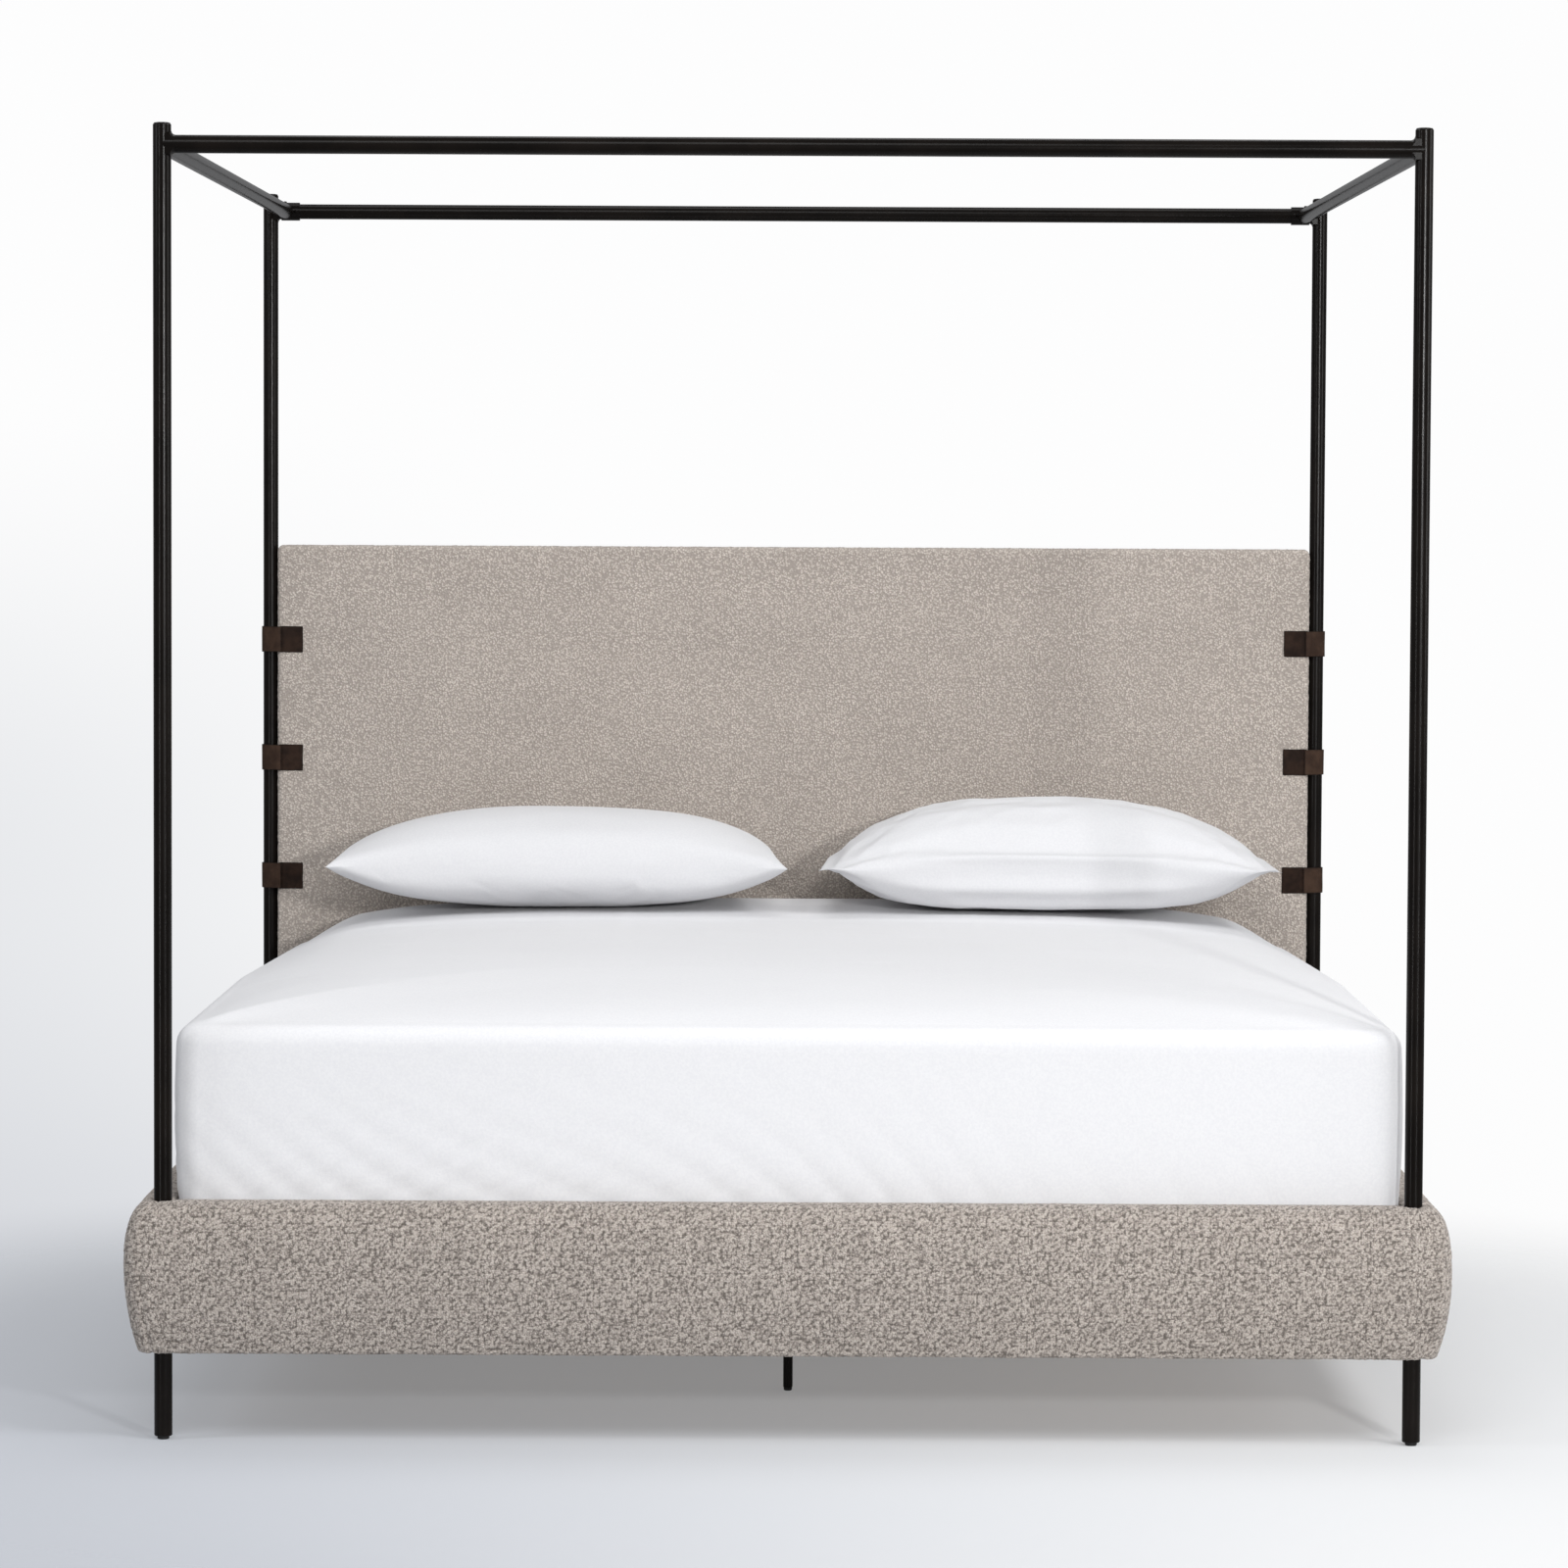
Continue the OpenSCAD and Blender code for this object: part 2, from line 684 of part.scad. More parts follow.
// Runs its children at every ledger screw on the right, with +Z pointing out of the wood
module at_ledger_screws() {
    for (k = [0:ledger_screw_n - 1])
        translate([inner_x - ledger_w,
                   ledger_y0 + 40 + (ledger_y1 - ledger_y0 - 80) * k / (ledger_screw_n - 1),
                   deck_z - ledger_h / 2])
            rotate([0, -90, 0]) children();
}

module ledger_screw_axes(r) {
    at_ledger_screws() translate([0, 0, -ledger_w - 16]) cylinder(ledger_w + 17, r = r);
}

module sunk_screw(length, r) {
    translate([0, 0, -length]) cylinder(length, r = r);
    translate([0, 0, -3]) cylinder(3, r1 = r, r2 = r + 2.5);
}

module ledgers() {
    color(wood) both_sides() difference() {
        box([inner_x - ledger_w, ledger_y0, deck_z - ledger_h], [inner_x, ledger_y1, deck_z]);
        ledger_screw_axes(2.5);
        at_ledger_screws() translate([0, 0, -3]) cylinder(3 + eps, r1 = 2.5, r2 = 5);
    }
}

module ledger_screws() {
    color(steel) both_sides() at_ledger_screws() sunk_screw(ledger_w + 16, 2.5);
}

slat_half = inner_x - 6;
slat_y0 = inner_front_y + 20;
slat_y1 = inner_rear_y - 20;
slat_step = (slat_y1 - slat_y0 - slat_w) / (slat_n - 1);

module slats() {
    color(wood) for (k = [0:slat_n - 1])
        box([-slat_half, slat_y0 + k * slat_step, deck_z],
            [slat_half, slat_y0 + k * slat_step + slat_w, slat_top]);
}

module slat_webbing() {
    color(linen) for (x = [-1, 1])
        translate([x * slat_half * 0.62, 0, 0])
            box([-webbing_w / 2, slat_y0, slat_top], [webbing_w / 2, slat_y1, slat_top + webbing_t]);
}

// ---------- headboard ----------

headboard_half = rear_x - tube_r - touch;
headboard_h = headboard_top - headboard_z;
core_back_y = rear_y + headboard_t / 2 - cover_t;   // back of the headboard's core

module headboard_block(inset) {
    translate([0, rear_y, headboard_z + headboard_h / 2])
        round_block(2 * (headboard_half - inset), headboard_t - 2 * inset, headboard_h - 2 * inset,
                    headboard_edge_r - inset * 0.8);
}

// The core runs down behind the head rail, where it is bolted on
module headboard_core_box(grow) {
    box([-headboard_half + 16 - grow, core_back_y - headboard_core_t, headboard_z + 14 - grow],
        [headboard_half - 16 + grow, core_back_y, headboard_top - 14 + grow]);
    box([-headboard_half + 16 - grow, inner_rear_y + head_rail_t, head_rail_z + 8],
        [headboard_half - 16 + grow, core_back_y, headboard_z + 15]);
}

module headboard_core() {
    color(wood) difference() {
        headboard_core_box(0);
        headboard_bolt_axes(4);
        at_strap_screws() translate([0, 0, -strap_screw_l]) cylinder(strap_screw_l + 1, r = 1.8);
    }
}

module headboard_foam() {
    color(foam) difference() {
        headboard_block(cover_t);
        headboard_core_box(touch);
    }
}

module headboard_cover() {
    color(fabric) difference() {
        headboard_block(0);
        headboard_block(cover_t);
        headboard_core_box(touch);
        at_strap_screws() translate([0, 0, -strap_screw_l]) cylinder(strap_screw_l + 1, r = 1.8);
    }
}

headboard_bolt_l = head_rail_t + 14;
module at_headboard_bolts() {
    for (x = [-0.8, -0.3, 0.3, 0.8])
        translate([x * headboard_half, inner_rear_y, head_rail_z + head_rail_h / 2])
            rotate([90, 0, 0]) children();
}

module headboard_bolt_axes(r) {
    at_headboard_bolts() translate([0, 0, -headboard_bolt_l]) cylinder(headboard_bolt_l + 1, r = r);
}

module headboard_bolts() {
    color(steel) at_headboard_bolts() hex_bolt(headboard_bolt_l);
}

// ---------- leather straps ----------

face = headboard_t / 2;      // the headboard's faces, before and behind the posts' axes

// Plan of a strap round the right rear post: tails lie on the patches before and behind the headboard
module strap_plan(grow) {
    hull() {
        circle(tube_r + touch + grow, $fn = 32);
        translate([-tube_r - 6, -face - patch_t - grow]) square([5, 2 * (face + patch_t + grow)]);
    }
}

module strap(z) {
    color(leather) translate([rear_x, rear_y, z - strap_h / 2]) linear_extrude(strap_h) {
        difference() {
            strap_plan(strap_t);
            strap_plan(0);
            translate([-3 * tube_d - tube_r, -3 * tube_d]) square([3 * tube_d + 1, 6 * tube_d]);
        }
        for (s = [-1, 1])
            translate([-strap_reach, s * (face + patch_t + strap_t / 2) - strap_t / 2])
                square([strap_reach - tube_r + 1.5, strap_t]);
    }
}

module strap_patches() {
    color(leather) both_sides() for (z = strap_zs, s = [-1, 1])
        translate([rear_x - patch_reach, rear_y + s * (face + patch_t / 2) - patch_t / 2, z - strap_h / 2])
            difference() {
                cube([patch_reach - tube_r - 3, patch_t, strap_h]);
                if (s == 1) for (k = [-1, 1])
                    translate([18, -1, strap_h / 2 + k * strap_h / 4]) rotate([-90, 0, 0])
                        cylinder(patch_t + 2, r = 1.8);
            }
}

strap_screw_l = patch_t + cover_t + 10;

// Screws through the rear patches, with +Z pointing out of the headboard's back
module at_strap_screws() {
    both_sides() for (z = strap_zs, k = [-1, 1])
        translate([rear_x - patch_reach + 18, rear_y + face + patch_t, z + k * strap_h / 4])
            rotate([-90, 0, 0]) children();
}

module strap_screws() {
    color(steel) at_strap_screws() pan_screw(strap_screw_l, 1.8, 4, 2);
}

// ---------- mattress, sheet and pillows ----------

mattress_y = inner_front_y + foot_gap + sheet_t + mattress_l / 2;
crown_reach = 170;    // the crown has nearly all its height this far in from the edge
crown_lines = [0.05, 0.1, 0.18, 0.3, 0.45, 0.68, 1];   // shares of the way in to the last level line
crown_span = min(mattress_w, mattress_l) / 2 - mattress_edge_r - 60;
edge_steps = 4;

// The crown rises from the edge and levels off towards the middle
function crown(d) = mattress_crown * (1 - exp(-d / crown_reach));

function mattress_ring(inset, z) =
    ring(mattress_w / 2 - inset, mattress_l / 2 - inset, max(mattress_corner_r - inset * 0.6, 22), z, 0,
         mattress_y);

// Level lines of the mattress from its underside to its top, swollen by grow
function mattress_rings(grow) = concat(
    [for (k = [0:edge_steps])
        let (a = 90 * k / edge_steps)
        mattress_ring(mattress_edge_r * (1 - sin(a)) - grow,
                      mattress_z + mattress_edge_r * (1 - cos(a)) - grow * cos(a))],
    [for (k = [0:edge_steps])
        let (a = 90 * k / edge_steps)
        mattress_ring(mattress_edge_r * (1 - cos(a)) - grow,
                      mattress_z + mattress_edge_h - mattress_edge_r * (1 - sin(a)) + grow * sin(a))],
    [for (share = crown_lines)
        let (d = share * crown_span)
        mattress_ring(mattress_edge_r + d, mattress_z + mattress_edge_h + grow + crown(d))]);

module mattress() {
    color(linen) level_skin(mattress_rings(0));
}

function flip(list) = [for (k = [len(list) - 1:-1:0]) list[k]];

// The sheet is the skin between the mattress and the mattress swollen by its thickness, open below
module fitted_sheet() {
    hem = mattress_edge_r + hem_w;
    color(linen) level_skin(concat(
        flip(mattress_rings(0)),
        [mattress_ring(hem, mattress_z), mattress_ring(hem, mattress_z - sheet_t)],
        mattress_rings(sheet_t)));
}

pillow_w = mattress_w / 2 - pillow_side_gap - pillow_gap / 2;
pillow_y = inner_rear_y + tube_r - headboard_t / 2 - 14 - pillow_l / 2;
pillow_z = mattress_z + mattress_edge_h + sheet_t + mattress_crown + 0.5;
pillow_steps = 6;

// A pillow's half outline at a height from -1 (below) over 0 (its seam) to 1 (above)
function pillow_ring(cx, t) =
    let (full = pow(1 - pow(abs(t), 2.2), 0.5),
         inset = (1 - full) * pillow_l * 0.42)
    ring(pillow_w / 2 - inset * 1.15, pillow_l / 2 - inset, min(30 + inset * 0.35, pillow_l / 2 - inset - 4),
         pillow_z + pillow_h * (t < 0 ? 0.48 * (1 + t) : 0.48 + 0.52 * t), cx, pillow_y);

module pillow(cx) {
    color(linen) level_skin([for (k = [-pillow_steps:pillow_steps])
        pillow_ring(cx, sin(90 * k / pillow_steps) * 0.985 + (k == 0 ? 0 : sign(k) * 0.015))]);
}

post(-post_x, front_y);  // front_left_post
post(post_x, front_y);  // front_right_post
post(-rear_x, rear_y);  // rear_left_post
post(rear_x, rear_y);  // rear_right_post
post_caps();
front_canopy_rail();
rear_canopy_rail();
mirror([1, 0, 0]) side_canopy_rail();  // left_canopy_rail
side_canopy_rail();  // right_canopy_rail
canopy_spigots();
rail_saddles();
canopy_screws();
leg_inserts();
foot(-post_x, front_y, foot_d, stud_d);  // front_left_foot
foot(post_x, front_y, foot_d, stud_d);  // front_right_foot
foot(-rear_x, rear_y, foot_d, stud_d);  // rear_left_foot
foot(rear_x, rear_y, foot_d, stud_d);  // rear_right_foot
footboard_core();
footboard_foam();
footboard_cover();
mirror([1, 0, 0]) side_core();  // left_rail_core
mirror([1, 0, 0]) side_foam();  // left_rail_foam
mirror([1, 0, 0]) side_cover();  // left_rail_cover
side_core();  // right_rail_core
side_foam();  // right_rail_foam
side_cover();  // right_rail_cover
head_rail();
corner_brackets();
bracket_bolts();
centre_beam();
beam_hangers();
hanger_screws();
centre_leg(leg_ys[0]);  // front_centre_leg
centre_leg(leg_ys[1]);  // middle_centre_leg
centre_leg(leg_ys[2]);  // rear_centre_leg
foot(0, leg_ys[0], centre_foot_d, centre_stud_d);  // front_centre_foot
foot(0, leg_ys[1], centre_foot_d, centre_stud_d);  // middle_centre_foot
foot(0, leg_ys[2], centre_foot_d, centre_stud_d);  // rear_centre_foot
ledgers();
ledger_screws();
slats();
slat_webbing();
headboard_core();
headboard_foam();
headboard_cover();
headboard_bolts();
mirror([1, 0, 0]) strap(strap_zs[2]);  // left_top_strap
mirror([1, 0, 0]) strap(strap_zs[1]);  // left_middle_strap
mirror([1, 0, 0]) strap(strap_zs[0]);  // left_low_strap
strap(strap_zs[2]);  // right_top_strap
strap(strap_zs[1]);  // right_middle_strap
strap(strap_zs[0]);  // right_low_strap
strap_patches();
strap_screws();
mattress();
fitted_sheet();
pillow(pillow_shift - (pillow_w + pillow_gap) / 2);  // left_pillow
pillow(pillow_shift + (pillow_w + pillow_gap) / 2);  // right_pillow
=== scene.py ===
# %% [markdown]
# # A four poster canopy bed, dressed
# The iron, the timber and the screws come ready made from the CAD frame, at their real size. This
# lesson gives them their finishes, and builds everything soft around them: the looped woven covers,
# the leather straps, the mattress with its fitted sheet, and the pillows. Lengths are in metres, +Y
# runs to the head of the bed and +Z is up.

# %% Load the frame
import json
import math

import bmesh
import bpy
import numpy as np
from mathutils import Matrix, Vector


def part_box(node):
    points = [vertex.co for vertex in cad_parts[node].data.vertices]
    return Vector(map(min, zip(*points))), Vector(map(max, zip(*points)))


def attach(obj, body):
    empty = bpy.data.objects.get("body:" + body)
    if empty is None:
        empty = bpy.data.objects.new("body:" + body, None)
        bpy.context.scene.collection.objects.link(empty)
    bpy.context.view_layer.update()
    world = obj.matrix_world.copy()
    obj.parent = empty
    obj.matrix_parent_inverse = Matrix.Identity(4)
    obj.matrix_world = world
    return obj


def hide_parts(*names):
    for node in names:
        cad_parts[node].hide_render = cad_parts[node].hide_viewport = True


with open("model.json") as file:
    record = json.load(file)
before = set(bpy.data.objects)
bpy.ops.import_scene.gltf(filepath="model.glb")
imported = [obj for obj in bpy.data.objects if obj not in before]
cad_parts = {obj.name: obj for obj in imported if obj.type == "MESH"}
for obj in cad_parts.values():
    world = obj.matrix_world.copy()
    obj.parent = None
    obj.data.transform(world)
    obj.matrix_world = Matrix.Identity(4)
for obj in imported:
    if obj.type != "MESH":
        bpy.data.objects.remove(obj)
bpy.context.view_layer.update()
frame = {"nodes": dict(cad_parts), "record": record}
MM = 0.001

# %% [markdown]
# ## The measures that the soft pieces take from the frame
# Every cover, strap and sheet has to meet the iron exactly, so its measures are read from the boxes
# of the CAD nodes and not typed in. A post's box gives its axis and its radius.

# %% Measures from the frame
front_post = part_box("front_right_post")
rear_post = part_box("rear_right_post")
TUBE_R = (front_post[1].x - front_post[0].x) / 2
POST_X = (front_post[1].x + front_post[0].x) / 2
FRONT_Y = (front_post[1].y + front_post[0].y) / 2
REAR_X = (rear_post[1].x + rear_post[0].x) / 2
REAR_Y = (rear_post[1].y + rear_post[0].y) / 2
print("posts at", round(POST_X, 4), round(FRONT_Y, 4), round(REAR_X, 4), round(REAR_Y, 4))

# %% [markdown]
# ## The camera
# A long lens from nearly nine metres keeps the four posts almost parallel. It stands a little above
# the middle of the bed's height and looks down by three degrees, so both the top of the mattress and
# the inner side of the canopy rails show. A camera looks along its own -Z, so its axes are built from
# the looking direction and then rolled by a fraction of a degree.

# %% Camera
CAMERA_X = 0.0213
CAMERA_BACK = 8.7471
CAMERA_Z = 1.4917
YAW, PITCH, ROLL = (math.radians(v) for v in (-0.2006, 2.9672, 0.2693))
LENS, SENSOR = 128.38, 36.0


def place_camera():
    """The camera's axes are a looking direction from yaw and pitch, and two more at right angles to it."""
    look = Vector((math.sin(YAW) * math.cos(PITCH), math.cos(YAW) * math.cos(PITCH), -math.sin(PITCH)))
    level = look.cross(Vector((0, 0, 1))).normalized()
    upright = level.cross(look)
    side = level * math.cos(ROLL) + upright * math.sin(ROLL)
    top = upright * math.cos(ROLL) - level * math.sin(ROLL)
    camera = bpy.data.objects.new("camera", bpy.data.cameras.new("camera"))
    camera.matrix_world = Matrix.Translation((CAMERA_X, FRONT_Y - CAMERA_BACK, CAMERA_Z)) @ Matrix(
        (side, top, -look)).transposed().to_4x4()
    camera.data.lens = LENS
    camera.data.sensor_width = SENSOR
    camera.data.clip_end = 200
    bpy.context.scene.collection.objects.link(camera)
    bpy.context.scene.camera = camera


place_camera()
print("camera", [round(v, 3) for v in bpy.context.scene.camera.location])

# %% [markdown]
# ## Building materials out of nodes
# A procedural material is a small network. Three short helpers keep each network readable: one adds
# a node and sets its sockets by name, one makes a group with named inputs and outputs, and one
# starts a material with its Principled shader.

# %% Node helpers
def add(tree, kind, settings=None, **values):
    """Adds a node; settings are its properties, and values are numbers or links for its sockets."""
    made = tree.nodes.new("ShaderNode" + kind)
    for key, value in (settings or {}).items():
        setattr(made, key, value)
    for key, value in values.items():
        name = key.replace("_", " ")
        socket = made.inputs[int(key[1:])] if key[0] == "i" and key[1:].isdigit() else made.inputs[name]
        if isinstance(value, bpy.types.NodeSocket):
            tree.links.new(value, socket)
        else:
            socket.default_value = value
    return made


def math_node(tree, operation, a, b=0.0):
    """One sum on two numbers or links."""
    return add(tree, "Math", {"operation": operation}, i0=a, i1=b).outputs[0]


def ramp(tree, value, low, high, out_low=0.0, out_high=1.0):
    """Carries value from low..high to out_low..out_high, smoothly and without overshoot."""
    made = add(tree, "MapRange", {"interpolation_type": "SMOOTHSTEP"}, Value=value)
    made.inputs["From Min"].default_value = low
    made.inputs["From Max"].default_value = high
    made.inputs["To Min"].default_value = out_low
    made.inputs["To Max"].default_value = out_high
    return made.outputs["Result"]


def mix(tree, share, a, b, blend="MIX"):
    """Blends colour a into colour b by share."""
    made = add(tree, "Mix", {"data_type": "RGBA", "blend_type": blend})
    for name, value in (("Factor_Float", share), ("A_Color", a), ("B_Color", b)):
        socket = next(s for s in made.inputs if s.identifier == name)
        if isinstance(value, bpy.types.NodeSocket):
            tree.links.new(value, socket)
        else:
            socket.default_value = value
    return next(s for s in made.outputs if s.identifier == "Result_Color")


# %% Group and material helpers
def start_group(name, inputs, outputs):
    """A node group whose sockets are named: inputs gives their starting values, a vector as None."""
    tree = bpy.data.node_groups.new(name, "ShaderNodeTree")
    for key, value in inputs.items():
        kind = "NodeSocketVector" if value is None else "NodeSocketFloat"
        socket = tree.interface.new_socket(name=key, in_out="INPUT", socket_type=kind)
        if value is not None:
            socket.default_value = value
    for key in outputs:
        tree.interface.new_socket(name=key, in_out="OUTPUT", socket_type="NodeSocketFloat")
    return tree, tree.nodes.new("NodeGroupInput"), tree.nodes.new("NodeGroupOutput")


def place_group(tree, group, **values):
    """Puts a group into a material, with this material's own values."""
    made = tree.nodes.new("ShaderNodeGroup")
    made.node_tree = group
    for key, value in values.items():
        socket = made.inputs[key.replace("_", " ")]
        if isinstance(value, bpy.types.NodeSocket):
            tree.links.new(value, socket)
        else:
            socket.default_value = value
    return made


def start_material(name, colour, roughness, **sockets):
    """A material with its Principled shader and the object's own coordinates."""
    made = bpy.data.materials.new(name)
    made.use_nodes = True
    tree = made.node_tree
    shader = tree.nodes["Principled BSDF"]
    shader.inputs["Base Color"].default_value = (*colour, 1)
    shader.inputs["Roughness"].default_value = roughness
    for key, value in sockets.items():
        shader.inputs[key.replace("_", " ")].default_value = value
    place = tree.nodes.new("ShaderNodeTexCoord").outputs["Object"]
    return made, tree, shader, place


def bump(tree, shader, height, distance, strength=1.0):
    """Feeds a height into the shader's normal."""
    made = add(tree, "Bump", Height=height, Distance=distance, Strength=strength)
    tree.links.new(made.outputs["Normal"], shader.inputs["Normal"])


print("node helpers ready")

# %% [markdown]
# ## Looped woven cover
# The rails and the headboard wear a bouclé: a wool yarn that stands up in small closed loops, three
# to four millimetres across, with dark gaps between them. A noise bump looks like plaster, because
# real loops are separate and crowded. Voronoi cells are separate and crowded too, so one layer of
# cells gives the loops, a second and finer one gives the yarn's twist inside them, and both are bent
# by noise first so that no straight cell edge is left. The gaps are painted a darker colour, as
# painted shade between the loops, from the same height, so the painted shade and the relief always
# agree.

# %% Group: loops of yarn
def make_loops():
    """Height is 0.7 of the loop cells' domes, 0.3 of the twist's domes and a little fuzz."""
    tree, given, out = start_group(
        "yarn_loops", {"Vector": None, "Loops per metre": 230.0, "Bend": 0.0022}, ("Height", "Top", "Tint"))
    vector = given.outputs["Vector"]
    per_metre = given.outputs["Loops per metre"]
    stir = add(tree, "TexNoise", Vector=vector, Scale=170.0, Detail=2.0)
    centred = add(tree, "VectorMath", {"operation": "SUBTRACT"}, i0=stir.outputs["Color"], i1=(0.5, 0.5, 0.5))
    bent = add(tree, "VectorMath", {"operation": "SCALE"}, i0=centred.outputs[0])
    tree.links.new(given.outputs["Bend"], bent.inputs["Scale"])
    moved = add(tree, "VectorMath", {"operation": "ADD"}, i0=vector, i1=bent.outputs[0])
    loops = add(tree, "TexVoronoi", {"feature": "SMOOTH_F1"}, Vector=moved.outputs[0], Scale=per_metre,
                Smoothness=0.25)
    fine_scale = math_node(tree, "MULTIPLY", per_metre, 2.3)
    twist = add(tree, "TexVoronoi", {"feature": "F1"}, Vector=moved.outputs[0], Scale=fine_scale)
    fuzz = add(tree, "TexNoise", Vector=vector, Scale=1500.0, Detail=3.0)
    dome = math_node(tree, "SUBTRACT", 1.0, loops.outputs["Distance"])
    strand = math_node(tree, "SUBTRACT", 1.0, twist.outputs["Distance"])
    height = math_node(tree, "ADD", math_node(tree, "MULTIPLY", dome, 0.7),
                       math_node(tree, "MULTIPLY", strand, 0.3))
    height = math_node(tree, "ADD", height, math_node(tree, "MULTIPLY", fuzz.outputs["Fac"], 0.08))
    tree.links.new(height, out.inputs["Height"])
    # Top is low in the gaps between the loops, where the bouclé paints shade.
    tree.links.new(ramp(tree, height, 0.38, 0.86), out.inputs["Top"])
    cell = add(tree, "SeparateColor", Color=loops.outputs["Color"])
    tree.links.new(cell.outputs[0], out.inputs["Tint"])
    return tree


yarn_loops = make_loops()
print("group:", yarn_loops.name)


# %% Material: bouclé
LOOP_COLOUR = np.array([0.56, 0.495, 0.442])
PALE_LOOP_COLOUR = np.array([0.66, 0.592, 0.535])
# The mesh's own loop heights: the bouclé paints shade where they are low, in the gaps.
LOOP = "loop"


def make_boucle(name, tone, gap_shade_colour, loops_per_metre, relief, share):
    """tone scales the yarn's colours; the two copies of the one cloth get different tones, as painted light
    and shade. The gap colour is painted shade between the loops, and share is how much of it comes from the
    mesh's own loops.
    """
    yarn_colour = (*(LOOP_COLOUR * tone), 1)
    pale_colour = (*(PALE_LOOP_COLOUR * tone), 1)
    made, tree, shader, place = start_material(
        name, yarn_colour[:3], 0.95, Specular_IOR_Level=0.15, Sheen_Weight=0.12, Sheen_Roughness=0.6)
    loops = place_group(tree, yarn_loops, Vector=place, Loops_per_metre=loops_per_metre)
    standing = add(tree, "Attribute", {"attribute_name": LOOP}).outputs["Fac"]
    both = math_node(tree, "ADD", math_node(tree, "MULTIPLY", standing, share),
                     math_node(tree, "MULTIPLY", loops.outputs["Top"], 1 - share))
    tint = ramp(tree, loops.outputs["Tint"], 0.35, 0.95)
    yarn = mix(tree, tint, yarn_colour, pale_colour)
    # The gaps between the loops take the darker gap colour: painted shade.
    colour = mix(tree, ramp(tree, both, 0.1, 0.68), gap_shade_colour, yarn)
    cloud = add(tree, "TexNoise", Vector=place, Scale=7.0, Detail=4.0)
    lot = ramp(tree, cloud.outputs["Fac"], 0.3, 0.7, 0.97, 1.02)
    shade = add(tree, "CombineColor", i0=lot, i1=lot, i2=lot)
    colour = mix(tree, 1.0, colour, shade.outputs[0], "MULTIPLY")
    tree.links.new(colour, shader.inputs["Base Color"])
    bump(tree, shader, loops.outputs["Height"], relief, 0.8)
    return made


# The two copies of the one bouclé differ in tone as painted light and shade, and the headboard's flatter
# loops get lighter painted shade in their gaps.
RAIL_LOOPS, HEADBOARD_LOOPS = 330.0, 240.0
boucle = make_boucle("boucle", 0.86, (0.14, 0.12, 0.105, 1), RAIL_LOOPS, 0.0034, 0.7)
flat_boucle = make_boucle("boucle_pulled_flat", 0.92, (0.345, 0.304, 0.27, 1), HEADBOARD_LOOPS, 0.0036, 0.0)
print("bouclé: loops of about", round(1000 / RAIL_LOOPS, 1), "and", round(1000 / HEADBOARD_LOOPS, 1), "mm")

# %% [markdown]
# ## Plain weaves
# The sheet and pillowcases are a fine cotton, the mattress has a sturdier ticking, and the slats hang
# together on a cotton tape. All are plain weaves: threads that cross over and under. Two sine waves at
# right angles give the crossing, and a slow noise makes threads thicker and thinner. The weave group
# takes the thread's pitch, so one group serves every cloth on the bed.

# %% Group: plain weave
def make_weave():
    """Height is the sum of three sines, one along each axis, and the slub of the thread."""
    tree, given, out = start_group("plain_weave", {"Vector": None, "Threads per metre": 1800.0},
                                   ("Height", "Slub"))
    vector = given.outputs["Vector"]
    turned = add(tree, "VectorMath", {"operation": "SCALE"}, i0=vector)
    tree.links.new(given.outputs["Threads per metre"], turned.inputs["Scale"])
    axes = add(tree, "SeparateXYZ", Vector=turned.outputs[0])
    across = math_node(tree, "SINE", math_node(tree, "MULTIPLY", axes.outputs[0], math.pi))
    along = math_node(tree, "SINE", math_node(tree, "MULTIPLY", axes.outputs[1], math.pi))
    upward = math_node(tree, "SINE", math_node(tree, "MULTIPLY", axes.outputs[2], math.pi))
    crossing = math_node(tree, "ADD", math_node(tree, "ADD", across, along), upward)
    slub = add(tree, "TexNoise", Vector=vector, Scale=260.0, Detail=3.0)
    height = math_node(tree, "ADD", math_node(tree, "MULTIPLY", crossing, 0.12), slub.outputs["Fac"])
    tree.links.new(height, out.inputs["Height"])
    tree.links.new(slub.outputs["Fac"], out.inputs["Slub"])
    return tree


plain_weave = make_weave()


def make_cloth(name, colour, shade_colour, threads, crease_depth, weave_depth, **sockets):
    """A woven cloth: fine threads, soft creases, and a slightly different tone that follows the slub of the
    thread.
    """
    made, tree, shader, place = start_material(name, colour[:3], 0.85, **sockets)
    weave = place_group(tree, plain_weave, Vector=place, Threads_per_metre=threads)
    stir = add(tree, "TexNoise", Vector=place, Scale=5.0, Detail=2.0, Distortion=0.6)
    crease = add(tree, "TexNoise", {"noise_type": "RIDGED_MULTIFRACTAL"}, Vector=place, Scale=9.0,
                 Detail=3.0, Roughness=0.45, Distortion=0.5)
    soft = math_node(tree, "MULTIPLY", crease.outputs["Fac"], ramp(tree, stir.outputs["Fac"], 0.4, 0.75))
    height = math_node(tree, "ADD", math_node(tree, "MULTIPLY", soft, crease_depth),
                       math_node(tree, "MULTIPLY", weave.outputs["Height"], weave_depth))
    tone = ramp(tree, weave.outputs["Slub"], 0.3, 0.7)
    tree.links.new(mix(tree, tone, shade_colour, colour), shader.inputs["Base Color"])
    bump(tree, shader, height, 1.0)
    return made


white_cotton = make_cloth("white_cotton", (0.745, 0.745, 0.757, 1), (0.71, 0.71, 0.728, 1), 2400.0, 0.0021,
                          0.00012, Specular_IOR_Level=0.25, Sheen_Weight=0.15)
